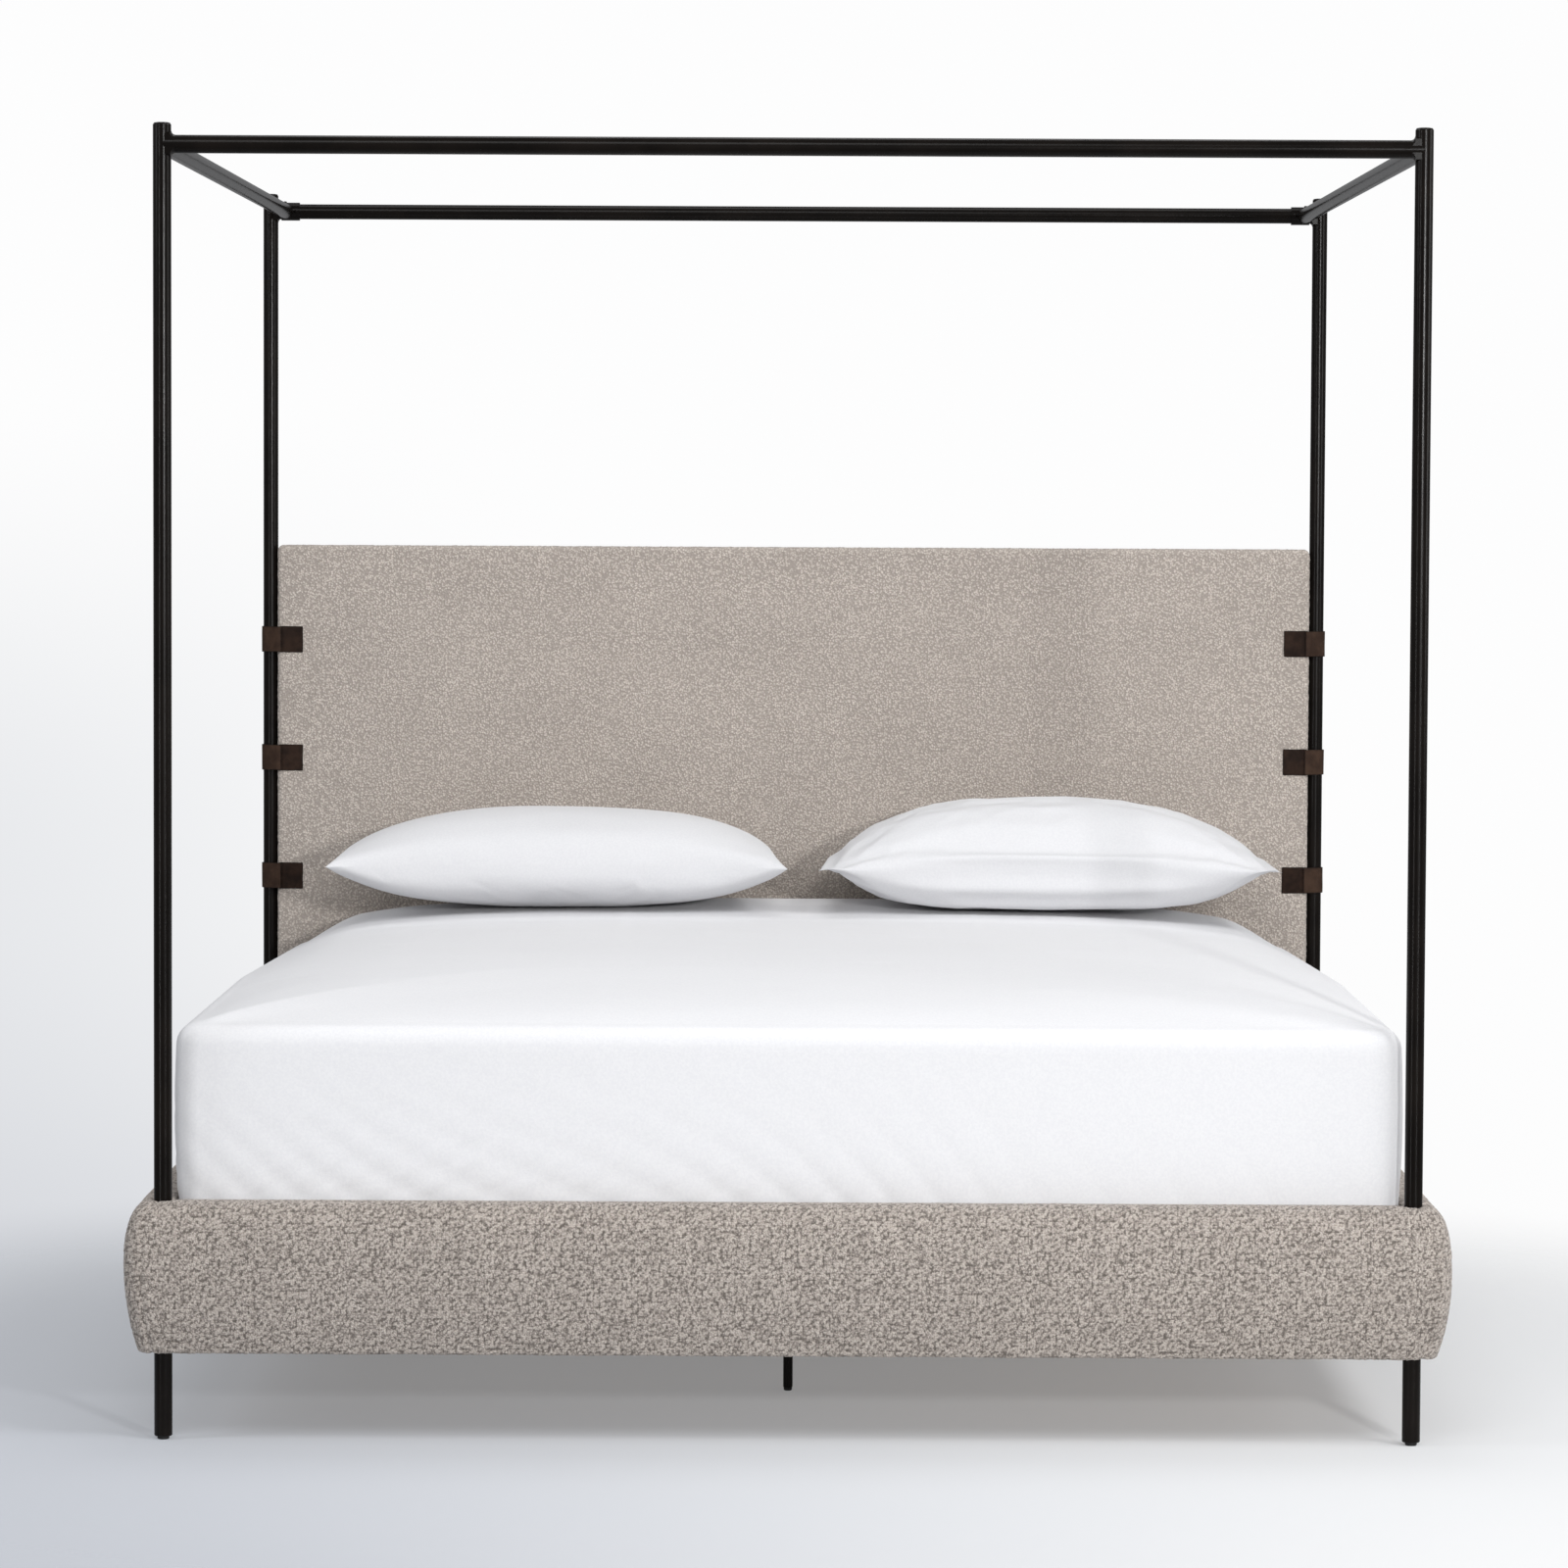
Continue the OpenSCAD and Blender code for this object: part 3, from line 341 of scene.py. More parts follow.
# The pillowcases' cotton is the sheet's cotton made darker, as painted shade, so that the pillows, high up
# and facing the lamps, show no brighter than the sheet.
pillow_cotton_painted_shade = make_cloth("pillow_cotton_painted_shade", (0.675, 0.675, 0.687, 1), (0.645, 0.645, 0.661, 1), 2400.0, 0.003,
                           0.00012, Specular_IOR_Level=0.25, Sheen_Weight=0.1)
ticking = make_cloth("mattress_ticking_cloth", (0.78, 0.77, 0.74, 1), (0.68, 0.67, 0.65, 1), 900.0,
                     0.0005, 0.0004, Specular_IOR_Level=0.2)
tape_cotton = make_cloth("tape_cotton", (0.72, 0.69, 0.62, 1), (0.55, 0.52, 0.46, 1), 600.0, 0.0003,
                         0.0006, Specular_IOR_Level=0.2)
print("cloths:", white_cotton.name, pillow_cotton_painted_shade.name, ticking.name, tape_cotton.name)

# %% [markdown]
# ## Leather
# The straps are waxed bridle leather. Its grain is a net of tiny cells, its colour is cloudy where
# the wax lies thicker, and its cut edges are burnished: rubbed until they are dark and smooth. The
# burnish has to follow the edges of each strap, so the strap's mesh carries an attribute that is 1 at
# a cut edge, and the material reads it.

# %% Group and materials: leather
EDGE = "cut_edge"


def make_grain():
    """Height is the net between the cells, plus fine pores; the cloud is a slow noise of its own."""
    tree, given, out = start_group("leather_grain", {"Vector": None, "Cells per metre": 900.0},
                                   ("Height", "Cloud"))
    vector = given.outputs["Vector"]
    cells = add(tree, "TexVoronoi", {"feature": "DISTANCE_TO_EDGE"}, Vector=vector,
                Scale=given.outputs["Cells per metre"])
    pores = add(tree, "TexNoise", Vector=vector, Scale=420.0, Detail=4.0)
    cloud = add(tree, "TexNoise", Vector=vector, Scale=38.0, Detail=5.0, Roughness=0.65)
    net = ramp(tree, cells.outputs["Distance"], 0.0, 0.18)
    height = math_node(tree, "ADD", math_node(tree, "MULTIPLY", net, 0.5), pores.outputs["Fac"])
    tree.links.new(height, out.inputs["Height"])
    tree.links.new(cloud.outputs["Fac"], out.inputs["Cloud"])
    return tree


leather_grain = make_grain()


def make_leather(name, dark, light, roughness):
    """Two tones in clouds, with cut edges darker and smoother than the face."""
    made, tree, shader, place = start_material(name, dark[:3], roughness, Specular_IOR_Level=0.1)
    grain = place_group(tree, leather_grain, Vector=place)
    colour = mix(tree, ramp(tree, grain.outputs["Cloud"], 0.35, 0.68), dark, light)
    edge = add(tree, "Attribute", {"attribute_name": EDGE}).outputs["Fac"]
    colour = mix(tree, edge, colour, (dark[0] * 0.35, dark[1] * 0.35, dark[2] * 0.35, 1))
    tree.links.new(colour, shader.inputs["Base Color"])
    tree.links.new(ramp(tree, edge, 0.0, 1.0, roughness, roughness * 0.75), shader.inputs["Roughness"])
    bump(tree, shader, grain.outputs["Height"], 0.0005, 0.7)
    return made


strap_leather = make_leather("strap_leather", (0.029, 0.0155, 0.010, 1), (0.052, 0.029, 0.0185, 1), 0.5)
patch_leather = make_leather("patch_leather", (0.011, 0.0052, 0.0032, 1), (0.027, 0.0138, 0.0085, 1), 0.55)
print("leathers:", strap_leather.name, patch_leather.name)

# %% [markdown]
# ## Iron, steel and plastic
# The posts and rails are iron, hand rubbed to a near black with a satin wax over it. It is never one
# even tone: the rubbing leaves cloudy patches and fine marks along the tube. One group makes the
# clouds and the marks, and the hidden steel and the plastic feet use it too, with their own strengths.

# %% Group and materials: metal and plastic
def make_patina():
    """Clouds of tone, marks along the surface, and a height from the marks and small pits."""
    tree, given, out = start_group("patina", {"Vector": None, "Marks per metre": 160.0},
                                   ("Cloud", "Marks", "Height"))
    vector = given.outputs["Vector"]
    cloud = add(tree, "TexNoise", Vector=vector, Scale=9.0, Detail=6.0, Roughness=0.6)
    marks = add(tree, "TexNoise", Vector=vector, Scale=given.outputs["Marks per metre"], Detail=4.0,
                Roughness=0.7)
    pits = add(tree, "TexVoronoi", {"feature": "F1"}, Vector=vector, Scale=700.0)
    height = math_node(tree, "ADD", marks.outputs["Fac"],
                       math_node(tree, "MULTIPLY", pits.outputs["Distance"], 0.3))
    tree.links.new(cloud.outputs["Fac"], out.inputs["Cloud"])
    tree.links.new(marks.outputs["Fac"], out.inputs["Marks"])
    tree.links.new(height, out.inputs["Height"])
    return tree


patina = make_patina()


def make_metal(name, dark, light, rough_low, rough_high, relief, metallic, specular=0.5, coat=0.0):
    """A metal or plastic: two tones in clouds, and a roughness and relief that follow fine marks."""
    made, tree, shader, place = start_material(name, dark[:3], rough_low, Metallic=metallic,
                                               Specular_IOR_Level=specular, Coat_Weight=coat,
                                               Coat_Roughness=0.3)
    marked = place_group(tree, patina, Vector=place)
    colour = mix(tree, ramp(tree, marked.outputs["Cloud"], 0.35, 0.7), dark, light)
    tree.links.new(colour, shader.inputs["Base Color"])
    rough = ramp(tree, marked.outputs["Marks"], 0.3, 0.7, rough_low, rough_high)
    tree.links.new(rough, shader.inputs["Roughness"])
    bump(tree, shader, marked.outputs["Height"], relief, 0.35)
    return made


iron = make_metal("rubbed_iron", (0.0036, 0.0027, 0.0022, 1), (0.007, 0.0052, 0.0042, 1), 0.2, 0.24,
                  0.00002, 0.0, 0.1)
steel = make_metal("zinc_steel", (0.42, 0.42, 0.43, 1), (0.58, 0.58, 0.57, 1), 0.3, 0.5, 0.0003, 1.0)
plastic = make_metal("black_foot_plastic", (0.007, 0.007, 0.007, 1), (0.012, 0.012, 0.012, 1), 0.5, 0.65,
                     0.0004, 0.0, 0.25)
print("metals:", iron.name, steel.name, plastic.name)

# %% [markdown]
# ## Timber
# The deck and the cores are pale softwood. Grain is stretched along the board, so the pattern's
# coordinates are squeezed by a factor of twelve along the length, and growth rings are a sine of the
# distance from the pith, bent by noise. Boards along X and along Y need the squeeze on another axis,
# so there is one material for each direction.

# %% Group and materials: timber
def make_rings():
    """The ring is the sine of the distance from the pith, bent by noise; the fibre is a fine noise."""
    tree, given, out = start_group("growth_rings", {"Vector": None, "Rings per metre": 95.0},
                                   ("Ring", "Fibre"))
    vector = given.outputs["Vector"]
    warp = add(tree, "TexNoise", Vector=vector, Scale=3.5, Detail=3.0)
    scaled = add(tree, "VectorMath", {"operation": "SCALE"}, i0=vector)
    tree.links.new(given.outputs["Rings per metre"], scaled.inputs["Scale"])
    far = add(tree, "VectorMath", {"operation": "LENGTH"}, i0=scaled.outputs[0])
    bent = math_node(tree, "ADD", far.outputs["Value"],
                     math_node(tree, "MULTIPLY", warp.outputs["Fac"], 14.0))
    ring = math_node(tree, "SINE", bent)
    fibre = add(tree, "TexNoise", Vector=vector, Scale=520.0, Detail=3.0)
    tree.links.new(ring, out.inputs["Ring"])
    tree.links.new(fibre.outputs["Fac"], out.inputs["Fibre"])
    return tree


growth_rings = make_rings()


def make_timber(name, squeeze):
    """Softwood whose grain runs along the axis with the small squeeze."""
    made, tree, shader, place = start_material(name, (0.62, 0.45, 0.28), 0.6, Specular_IOR_Level=0.3)
    squeezed = add(tree, "Mapping", Vector=place, Scale=squeeze, Location=(0.013, 0.021, 0.31))
    grain = place_group(tree, growth_rings, Vector=squeezed.outputs["Vector"])
    early = mix(tree, grain.outputs["Fibre"], (0.56, 0.39, 0.23, 1), (0.72, 0.55, 0.36, 1))
    colour = mix(tree, ramp(tree, grain.outputs["Ring"], 0.2, 1.0), early, (0.44, 0.27, 0.14, 1))
    tree.links.new(colour, shader.inputs["Base Color"])
    bump(tree, shader, grain.outputs["Fibre"], 0.0004, 0.5)
    return made


timber_x = make_timber("timber_along_x", (0.08, 1.0, 1.0))
timber_y = make_timber("timber_along_y", (1.0, 0.08, 1.0))
print("timbers:", timber_x.name, timber_y.name)

# %% [markdown]
# ## Finishes for the frame's own pieces
# Each CAD node keeps its shape and gets a finish by the material slot that the record names. Timber
# takes the direction of its longest side, which its box tells.

# %% Finish the frame
FINISH = {"iron": iron, "steel": steel, "foot_plastic": plastic, "ticking": ticking}


def finish_for(name, slot):
    """The finish of a material slot; timber is chosen by the direction of the piece's longer side."""
    if slot != "wood":
        return FINISH.get(slot)
    low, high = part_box(name)
    return timber_x if high.x - low.x > high.y - low.y else timber_y


def finish_frame():
    """Gives every CAD node that stays in view its finish, and counts them."""
    done = 0
    for part in frame["record"]["subparts"]:
        finish = finish_for(part["node"], part["material_slot"])
        if finish:
            mesh = frame["nodes"][part["node"]].data
            mesh.materials.clear()
            mesh.materials.append(finish)
            done += 1
    print("frame pieces finished:", done)


finish_frame()

# %% [markdown]
# ## Surfaces from arrays
# Every soft piece is worked out as arrays of points and then becomes a mesh in one step. A grid of
# rows and columns turns into quads; it may close round on itself, and its first and last rows may be
# capped. Points that fall together are merged, so poles and seams are closed, and the normals of a
# closed mesh are then turned outwards.

# %% Mesh helpers
def grid_faces(index, around=False):
    """Quads between neighbouring rows and columns of an array of vertex numbers."""
    if around:
        index = np.concatenate([index, index[:, :1]], axis=1)
    corners = (index[:-1, :-1], index[:-1, 1:], index[1:, 1:], index[1:, :-1])
    return np.stack(corners, -1).reshape(-1, 4)


def build(name, points, faces, material, caps=(), merge=1e-5, marks=None):
    """Makes the object: quads, caps with many corners, merged doubles and outward normals. marks is an
    attribute's name and its value at each point."""
    mesh = bpy.data.meshes.new(name)
    mesh.from_pydata(points.reshape(-1, 3).tolist(), [], faces.tolist() + [list(map(int, c)) for c in caps])
    if marks:
        attribute = mesh.attributes.new(marks[0], "FLOAT", "POINT")
        attribute.data.foreach_set("value", marks[1].astype(np.float32).ravel())
    shape = bmesh.new()
    shape.from_mesh(mesh)
    if merge:
        bmesh.ops.remove_doubles(shape, verts=shape.verts, dist=merge)
    bmesh.ops.recalc_face_normals(shape, faces=shape.faces)
    shape.to_mesh(mesh)
    shape.free()
    mesh.polygons.foreach_set("use_smooth", np.full(len(mesh.polygons), True))
    mesh.materials.append(material)
    made = bpy.data.objects.new(name, mesh)
    bpy.context.scene.collection.objects.link(made)
    print(f"{name}: {len(mesh.vertices)} vertices, {len(mesh.polygons)} faces")
    return made


def settle(piece, body, slot, *nodes):
    """The piece rides on a body and stands for CAD nodes, which it hides; slot is not used."""
    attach(piece, body)
    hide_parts(*nodes)


def vertex_array(piece):
    """The places of a mesh's vertices, one row each."""
    co = np.empty(len(piece.data.vertices) * 3, np.float32)
    piece.data.vertices.foreach_get("co", co)
    return co.reshape(-1, 3).astype(float)


# %% Lines and normals
def running(line):
    """Length along the line up to each of its points."""
    return np.concatenate([[0], np.cumsum(np.linalg.norm(np.diff(line, axis=0), axis=1))])


def evenly(line, step):
    """The same line with points a step apart, by its running length."""
    run = running(line)
    places = np.linspace(0, run[-1], max(2, round(run[-1] / step) + 1))
    return np.stack([np.interp(places, run, line[:, k]) for k in range(line.shape[1])], -1)


def grid_normals(points):
    """Unit normal at each point of an open grid: rows' direction crossed with columns' direction."""
    down = np.gradient(points, axis=0)
    across = np.gradient(points, axis=1)
    normal = np.cross(across, down)
    return normal / np.maximum(np.linalg.norm(normal, axis=-1, keepdims=True), 1e-12)


print("mesh helpers ready")

# %% [markdown]
# ## Real relief for the loops
# Bump alone leaves an outline as smooth as glass, and the crest of the rails is seen against white.
# So the loops also stand up in the mesh. Each cell of a lattice holds one loop with its own place
# and height, and a point takes the highest of the nine loops around it.

# %% Relief functions
def loop_relief(s, t, pitch, seed):
    """Domes on a jittered lattice: 1 minus the squared distance to the loop's middle, highest of nine."""
    size = 211
    table = np.random.default_rng(seed).random((size, size, 3))
    row, col = np.floor(s / pitch).astype(int), np.floor(t / pitch).astype(int)
    best = np.zeros(np.broadcast(s, t).shape)
    for ds in (-1, 0, 1):
        for dt in (-1, 0, 1):
            own = table[(row + ds) % size, (col + dt) % size]
            off_s = s - (row + ds + 0.1 + 0.8 * own[..., 0]) * pitch
            off_t = t - (col + dt + 0.1 + 0.8 * own[..., 1]) * pitch
            dome = 1 - (off_s ** 2 + off_t ** 2) / (0.75 * pitch) ** 2
            best = np.maximum(best, (0.45 + 0.55 * own[..., 2]) * np.clip(dome, 0, 1))
    return best


def slow_waves(x, y, length, seed, count=7):
    """Sum of sines in several directions with wavelengths near length, about -1 to 1."""
    rng = np.random.default_rng(seed)
    total = 0
    for angle, phase, stretch in zip(rng.uniform(0, math.pi, count), rng.uniform(0, 2 * math.pi, count),
                                     rng.uniform(0.7, 1.5, count)):
        total = total + np.sin(2 * math.pi * (x * math.cos(angle) + y * math.sin(angle)) / (length * stretch)
                               + phase)
    return total / math.sqrt(count * 2)


print("relief functions ready")

# %% [markdown]
# ## The padding of the rails
# Foam over a timber core, with the cover pulled round it. The section bellies out below and runs
# back over a squared-off shoulder to the crest. It is a profile carried along a path, so the same
# section serves the footboard and both side rails. The section is closed by a pocket in which the
# timber core lies.

# %% The section of a padded rail
foot_low, foot_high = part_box("footboard_cover")
core_low, core_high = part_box("footboard_core")
RAIL_BOTTOM, RAIL_TOP = foot_low.z, foot_high.z
BULGE = FRONT_Y - foot_low.y
BACK = foot_high.y - FRONT_Y
CORE_T = core_high.y - core_low.y
BELLY_Z = RAIL_BOTTOM + 0.138
TOE = 0.036
CREST_FLAT = 0.015
SHOULDER = 2 / 2.5
LOWER_EDGE_R = 0.006
INNER_EDGE_R = 0.008


def padding_section(step):
    """Outer line of the section as (distance out from the post axes, height), from the inner end of the
    underside to the top of the inner face: a small arc, a large arc to the belly, a quarter of a
    squared-off ellipse to the crest, the crest's flat, and a small arc down."""
    rise = BELLY_Z - RAIL_BOTTOM
    radius = (rise ** 2 + (BULGE - TOE) ** 2) / (2 * (BULGE - TOE))
    z = np.linspace(RAIL_BOTTOM + LOWER_EDGE_R, BELLY_Z, 40)
    belly = np.stack([BULGE - radius + np.sqrt(radius ** 2 - (BELLY_Z - z) ** 2), z], -1)
    a = np.radians(np.linspace(-90, -12, 6))
    lower = belly[0] + LOWER_EDGE_R * np.stack([np.cos(a) - math.cos(a[-1]), np.sin(a) - math.sin(a[-1])], -1)
    a = np.radians(np.linspace(0, 90, 80))[1:]
    shoulder = np.stack([CREST_FLAT + (BULGE - CREST_FLAT) * np.abs(np.cos(a)) ** SHOULDER,
                         BELLY_Z + (RAIL_TOP - BELLY_Z) * np.sin(a) ** SHOULDER], -1)
    a = np.radians(np.linspace(90, 180, 6))
    inner = np.array([INNER_EDGE_R - BACK, RAIL_TOP - INNER_EDGE_R]) + INNER_EDGE_R * np.stack(
        [np.cos(a), np.sin(a)], -1)
    start = np.array([[-BACK, lower[0, 1]]])
    return evenly(np.concatenate([start, lower[:-1], belly, shoulder, inner]), step)


def pocket_section():
    """The rest of the section, down the inner face and round the pocket of the timber core."""
    gap = 0.2 * MM
    deep = CORE_T + gap - BACK
    return np.array([[-BACK, core_high.z + gap], [deep, core_high.z + gap],
                     [deep, core_low.z - gap], [-BACK, core_low.z - gap]])


# %% The cover of a padded rail
LOOP_HEIGHT = 2.0 * MM
UNEVEN, UNEVEN_LENGTH = 0.5 * MM, 0.14
PULL, PULL_PITCH = 0.5 * MM, 0.083


def cover_offset(section_run, path_run, fade, pitch, seed):
    """How far the cover stands out: loops, a little unevenness, and faint pulls at the lower edge; and
    the loops alone, from 0 to 1."""
    s, t = path_run[:, None], section_run[None, :]
    loops = loop_relief(s, t, pitch, seed)
    uneven = slow_waves(s, t * np.ones_like(s), UNEVEN_LENGTH, seed + 1) * UNEVEN
    low = np.exp(-t / 0.05)
    pulls = (np.sin(2 * math.pi * s / PULL_PITCH + 2 * np.sin(s * 7.0)) - 1) * PULL * low
    return (loops * LOOP_HEIGHT + uneven + pulls) * fade[None, :], loops


def inner_fade(section):
    """1 over the outside of the section, and 0 on its inner face and at its two ends."""
    run = running(section)
    ends = np.minimum(run, run[-1] - run)
    return np.clip((ends - 0.012) / 0.012, 0, 1)


print("rail section:", round(running(padding_section(0.003))[-1], 3), "m round the outside")

# %% [markdown]
# ## The footboard
# It wraps round both front posts, so its path turns a rounded corner at each end. In plan, a point
# of the section at distance T from the inner face lies T out along the front. At a corner the same
# point runs over T times a unit curve, a square corner with its tip rounded. Near the inner corner T
# is small, so the columns draw together there without crossing.

# %% Footboard
FOOT_STEP = 2.4 * MM
FOOT_LOOP_PITCH = 5.0 * MM
TIP = 0.46
SEAM_ANGLE = 31
SEAM_SPREAD = 3.4
SEAM_DEPTH = 3.2 * MM


def corner_curve(step):
    """Unit curve from straight ahead (0, -1) to sideways (1, 0): a square corner whose tip has radius TIP."""
    a = np.radians(np.linspace(0, 90, 16))
    tip = np.stack([1 - TIP + TIP * np.sin(a), TIP - 1 - TIP * np.cos(a)], -1)
    return evenly(np.concatenate([[[0, -1]], tip, [[1, 0]]]), step)


def pull_round_posts(points):
    """The crest dips where the cover is drawn in round each post."""
    away = np.hypot(np.abs(points[..., 0]) - POST_X, points[..., 1] - FRONT_Y) - TUBE_R
    dip = np.exp(-(np.clip(away, 0, None) / 0.006) ** 2) * 3.5 * MM
    points[..., 2] -= dip * (points[..., 2] > RAIL_TOP - 0.02)


def make_footboard():
    """The section carried along the front and round both corners: a point T out from the inner face lies
    at the inner line plus T times the unit curve. Loops and the seam are added along the normals."""
    outer = padding_section(FOOT_STEP)
    pocket = pocket_section()
    inner_x = POST_X - BACK
    curve = corner_curve(FOOT_STEP / (BULGE + BACK))[1:]
    front = np.linspace(-inner_x, inner_x, round(2 * inner_x / FOOT_STEP) + 1)
    left = curve[::-1] * np.array([-1, 1])
    unit = np.concatenate([left, np.tile([0, -1], (len(front), 1)), curve])
    base = np.concatenate([np.full(len(left), -inner_x), front, np.full(len(curve), inner_x)])
    section = np.concatenate([outer, pocket])
    out = section[:, 0] + BACK
    points = np.empty((len(base), len(section), 3))
    points[..., 0] = base[:, None] + out * unit[:, :1]
    points[..., 1] = FRONT_Y + BACK + out * unit[:, 1:]
    points[..., 2] = section[:, 1]
    belly = points[:, np.argmax(outer[:, 0])]
    along = running(belly)
    n = len(outer)
    normal = -grid_normals(points[:, :n])
    offset, loops = cover_offset(running(outer), along, inner_fade(outer), FOOT_LOOP_PITCH, 11)
    tip_angle = np.degrees(np.arctan2(np.abs(unit[:, 0]), -unit[:, 1]))
    seam = np.exp(-((tip_angle - SEAM_ANGLE) / SEAM_SPREAD) ** 2) * SEAM_DEPTH
    points[:, :n] += normal * (offset - seam[:, None] * inner_fade(outer))[..., None]
    pull_round_posts(points)
    index = np.arange(points.shape[0] * points.shape[1]).reshape(points.shape[:2])
    # standing is how high each loop stands; the bouclé paints shade where it is low, in the gaps.
    standing = np.pad(loops, ((0, 0), (0, len(pocket))))
    piece = build("footboard_padding", points, grid_faces(index, around=True), boucle,
                  caps=(index[0], index[-1][::-1]), marks=(LOOP, standing))
    settle(piece, "bed_frame", "boucle", "footboard_cover", "footboard_foam")


make_footboard()

# %% [markdown]
# ## The side rails
# The same section runs straight back along each side. Its ends are eased by a few millimetres, as a
# cover that is folded over foam always is, and they stop at the footboard and at the headboard. The
# left rail is the right one with x turned about, and a different run of loops.

# %% Side rails
SIDE_STEP = 2.9 * MM
SIDE_LOOP_PITCH = 5.8 * MM
END_EASE = 5 * MM


def make_side_rail(side, name, nodes, seed):
    """The section carried straight back; near an end it draws in by a quarter of a circle."""
    low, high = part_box(name)
    outer = padding_section(SIDE_STEP)
    section = np.concatenate([outer, pocket_section()])
    y = np.linspace(low.y, high.y, round((high.y - low.y) / SIDE_STEP) + 1)
    edge = np.minimum(y - y[0], y[-1] - y)
    close = np.clip(1 - edge / END_EASE, 0, 1)
    points = np.empty((len(y), len(section), 3))
    points[..., 0] = POST_X + section[:, 0]
    points[..., 1] = y[:, None]
    points[..., 2] = section[:, 1]
    n = len(outer)
    normal = -grid_normals(points[:, :n])
    fade = inner_fade(outer)
    offset, loops = cover_offset(running(outer), y - y[0], fade, SIDE_LOOP_PITCH, seed)
    ease = (1 - np.sqrt(1 - close ** 2)) * END_EASE
    points[:, :n] += normal * (offset - ease[:, None] * fade)[..., None]
    points[..., 0] *= side
    index = np.arange(points.shape[0] * points.shape[1]).reshape(points.shape[:2])
    # standing is how high each loop stands; the bouclé paints shade where it is low, in the gaps.
    standing = np.pad(loops, ((0, 0), (0, len(section) - n)))
    piece = build(name.replace("cover", "padding"), points, grid_faces(index, around=True), boucle,
                  caps=(index[0], index[-1][::-1]), marks=(LOOP, standing))
    settle(piece, "bed_frame", "boucle", *nodes)


for side, word, seed in ((-1, "left", 31), (1, "right", 47)):
    make_side_rail(side, word + "_rail_cover", (word + "_rail_cover", word + "_rail_foam"), seed)

# %% [markdown]
# ## Soft blocks
# The headboard, the mattress, its sheet and the leather patches are all blocks with rounded edges.
# A block is a flat lattice for each face and rows that run round its rim. Each point of the rim is
# held as weights and a direction, so that any inset and any corner radius gives a row that lines up
# with its neighbours: weight times the straight half length, plus radius times direction. The face's
# lattice is stretched between the four sides of the innermost row.

# %% Rim of a soft block
def side_weights(count, straight, radius):
    """One side of the rim from the middle of a corner to the middle of the next, count cells long:
    its place along the side from -1 to 1, and the angle of its outward direction."""
    bend = radius * math.pi / 4
    place = np.linspace(0, 2 * bend + 2 * straight, count + 1)
    along = np.clip((place - bend) / (2 * straight), 0, 1) * 2 - 1
    turn = np.clip(place / bend, 0, 1) * 45 + np.clip((place - bend - 2 * straight) / bend, 0, 1) * 45
    return along, np.radians(turn - 45)


def make_rim(half_a, half_b, radius, step_a, step_b):
    """Weights and directions all round, anticlockwise from the low corner, and the cells per side."""
    count = [max(4, round(2 * half / step)) for half, step in ((half_a, step_a), (half_b, step_b))]
    weights, normals = [], []
    for quarter in range(4):
        long = half_a if quarter % 2 == 0 else half_b
        along, turn = side_weights(count[quarter % 2], long - radius, radius)
        spot = np.stack([along, -np.ones_like(along)], -1)[:-1]
        way = np.stack([np.sin(turn), -np.cos(turn)], -1)[:-1]
        c, s = round(math.cos(quarter * math.pi / 2)), round(math.sin(quarter * math.pi / 2))
        rotate = np.array([[c, -s], [s, c]])
        weights.append(spot @ rotate.T)
        normals.append(way @ rotate.T)
    return np.concatenate(weights), np.concatenate(normals), count


def rim_row(rim, half_a, half_b, radius):
    """One row round the rim: weights times the straight halves, plus the radius times the direction."""
    weights, normals, _ = rim
    radius = max(radius, 0.2 * MM)
    return weights * np.array([half_a - radius, half_b - radius]) + normals * radius


# %% Lattice and block
def face_lattice(rim, row):
    """Lattice of plan points inside a closed row: opposite sides blended, less the blended corners."""
    a, b = rim[2]
    u, v = np.linspace(0, 1, a + 1)[None, :, None], np.linspace(0, 1, b + 1)[:, None, None]
    closed = np.concatenate([row, row[:1]])
    near, right = closed[:a + 1], closed[a:a + b + 1]
    far, left = closed[a + b:2 * a + b + 1][::-1], closed[2 * a + b:][::-1]
    sides = (1 - v) * near[None] + v * far[None] + (1 - u) * left[:, None] + u * right[:, None]
    corners = ((1 - u) * (1 - v) * near[0] + u * (1 - v) * near[-1] + (1 - u) * v * far[0]
               + u * v * far[-1])
    return sides - corners


def lattice_rim_index(a, b, first):
    """Numbers of a lattice's outer points, in the rim's order."""
    index = first + np.arange((a + 1) * (b + 1)).reshape(b + 1, a + 1)
    return index, np.concatenate([index[0, :-1], index[:-1, -1], index[-1, :0:-1], index[:0:-1, 0]])


def block_mesh(rim, rows, top, bottom=None):
    """Joins a top lattice, the rows of the rim below it, and a bottom lattice if there is one.
    rows is (rows, points, 3), from the bottom up, without the lattices' own outer points."""
    a, b = rim[2]
    parts = [top.reshape(-1, 3)]
    index, ring = lattice_rim_index(a, b, 0)
    faces = [grid_faces(index)]
    first = len(parts[0])
    numbers = first + np.arange(rows.shape[0] * rows.shape[1]).reshape(rows.shape[:2])
    parts.append(rows.reshape(-1, 3))
    levels = np.concatenate([numbers, ring[None]])
    if bottom is not None:
        first += len(parts[1])
        index, ring = lattice_rim_index(a, b, first)
        faces.append(grid_faces(index)[:, ::-1])
        parts.append(bottom.reshape(-1, 3))
        levels = np.concatenate([ring[None], levels])
    faces.append(grid_faces(levels, around=True))
    return np.concatenate(parts), np.concatenate(faces)


print("soft block helpers ready")

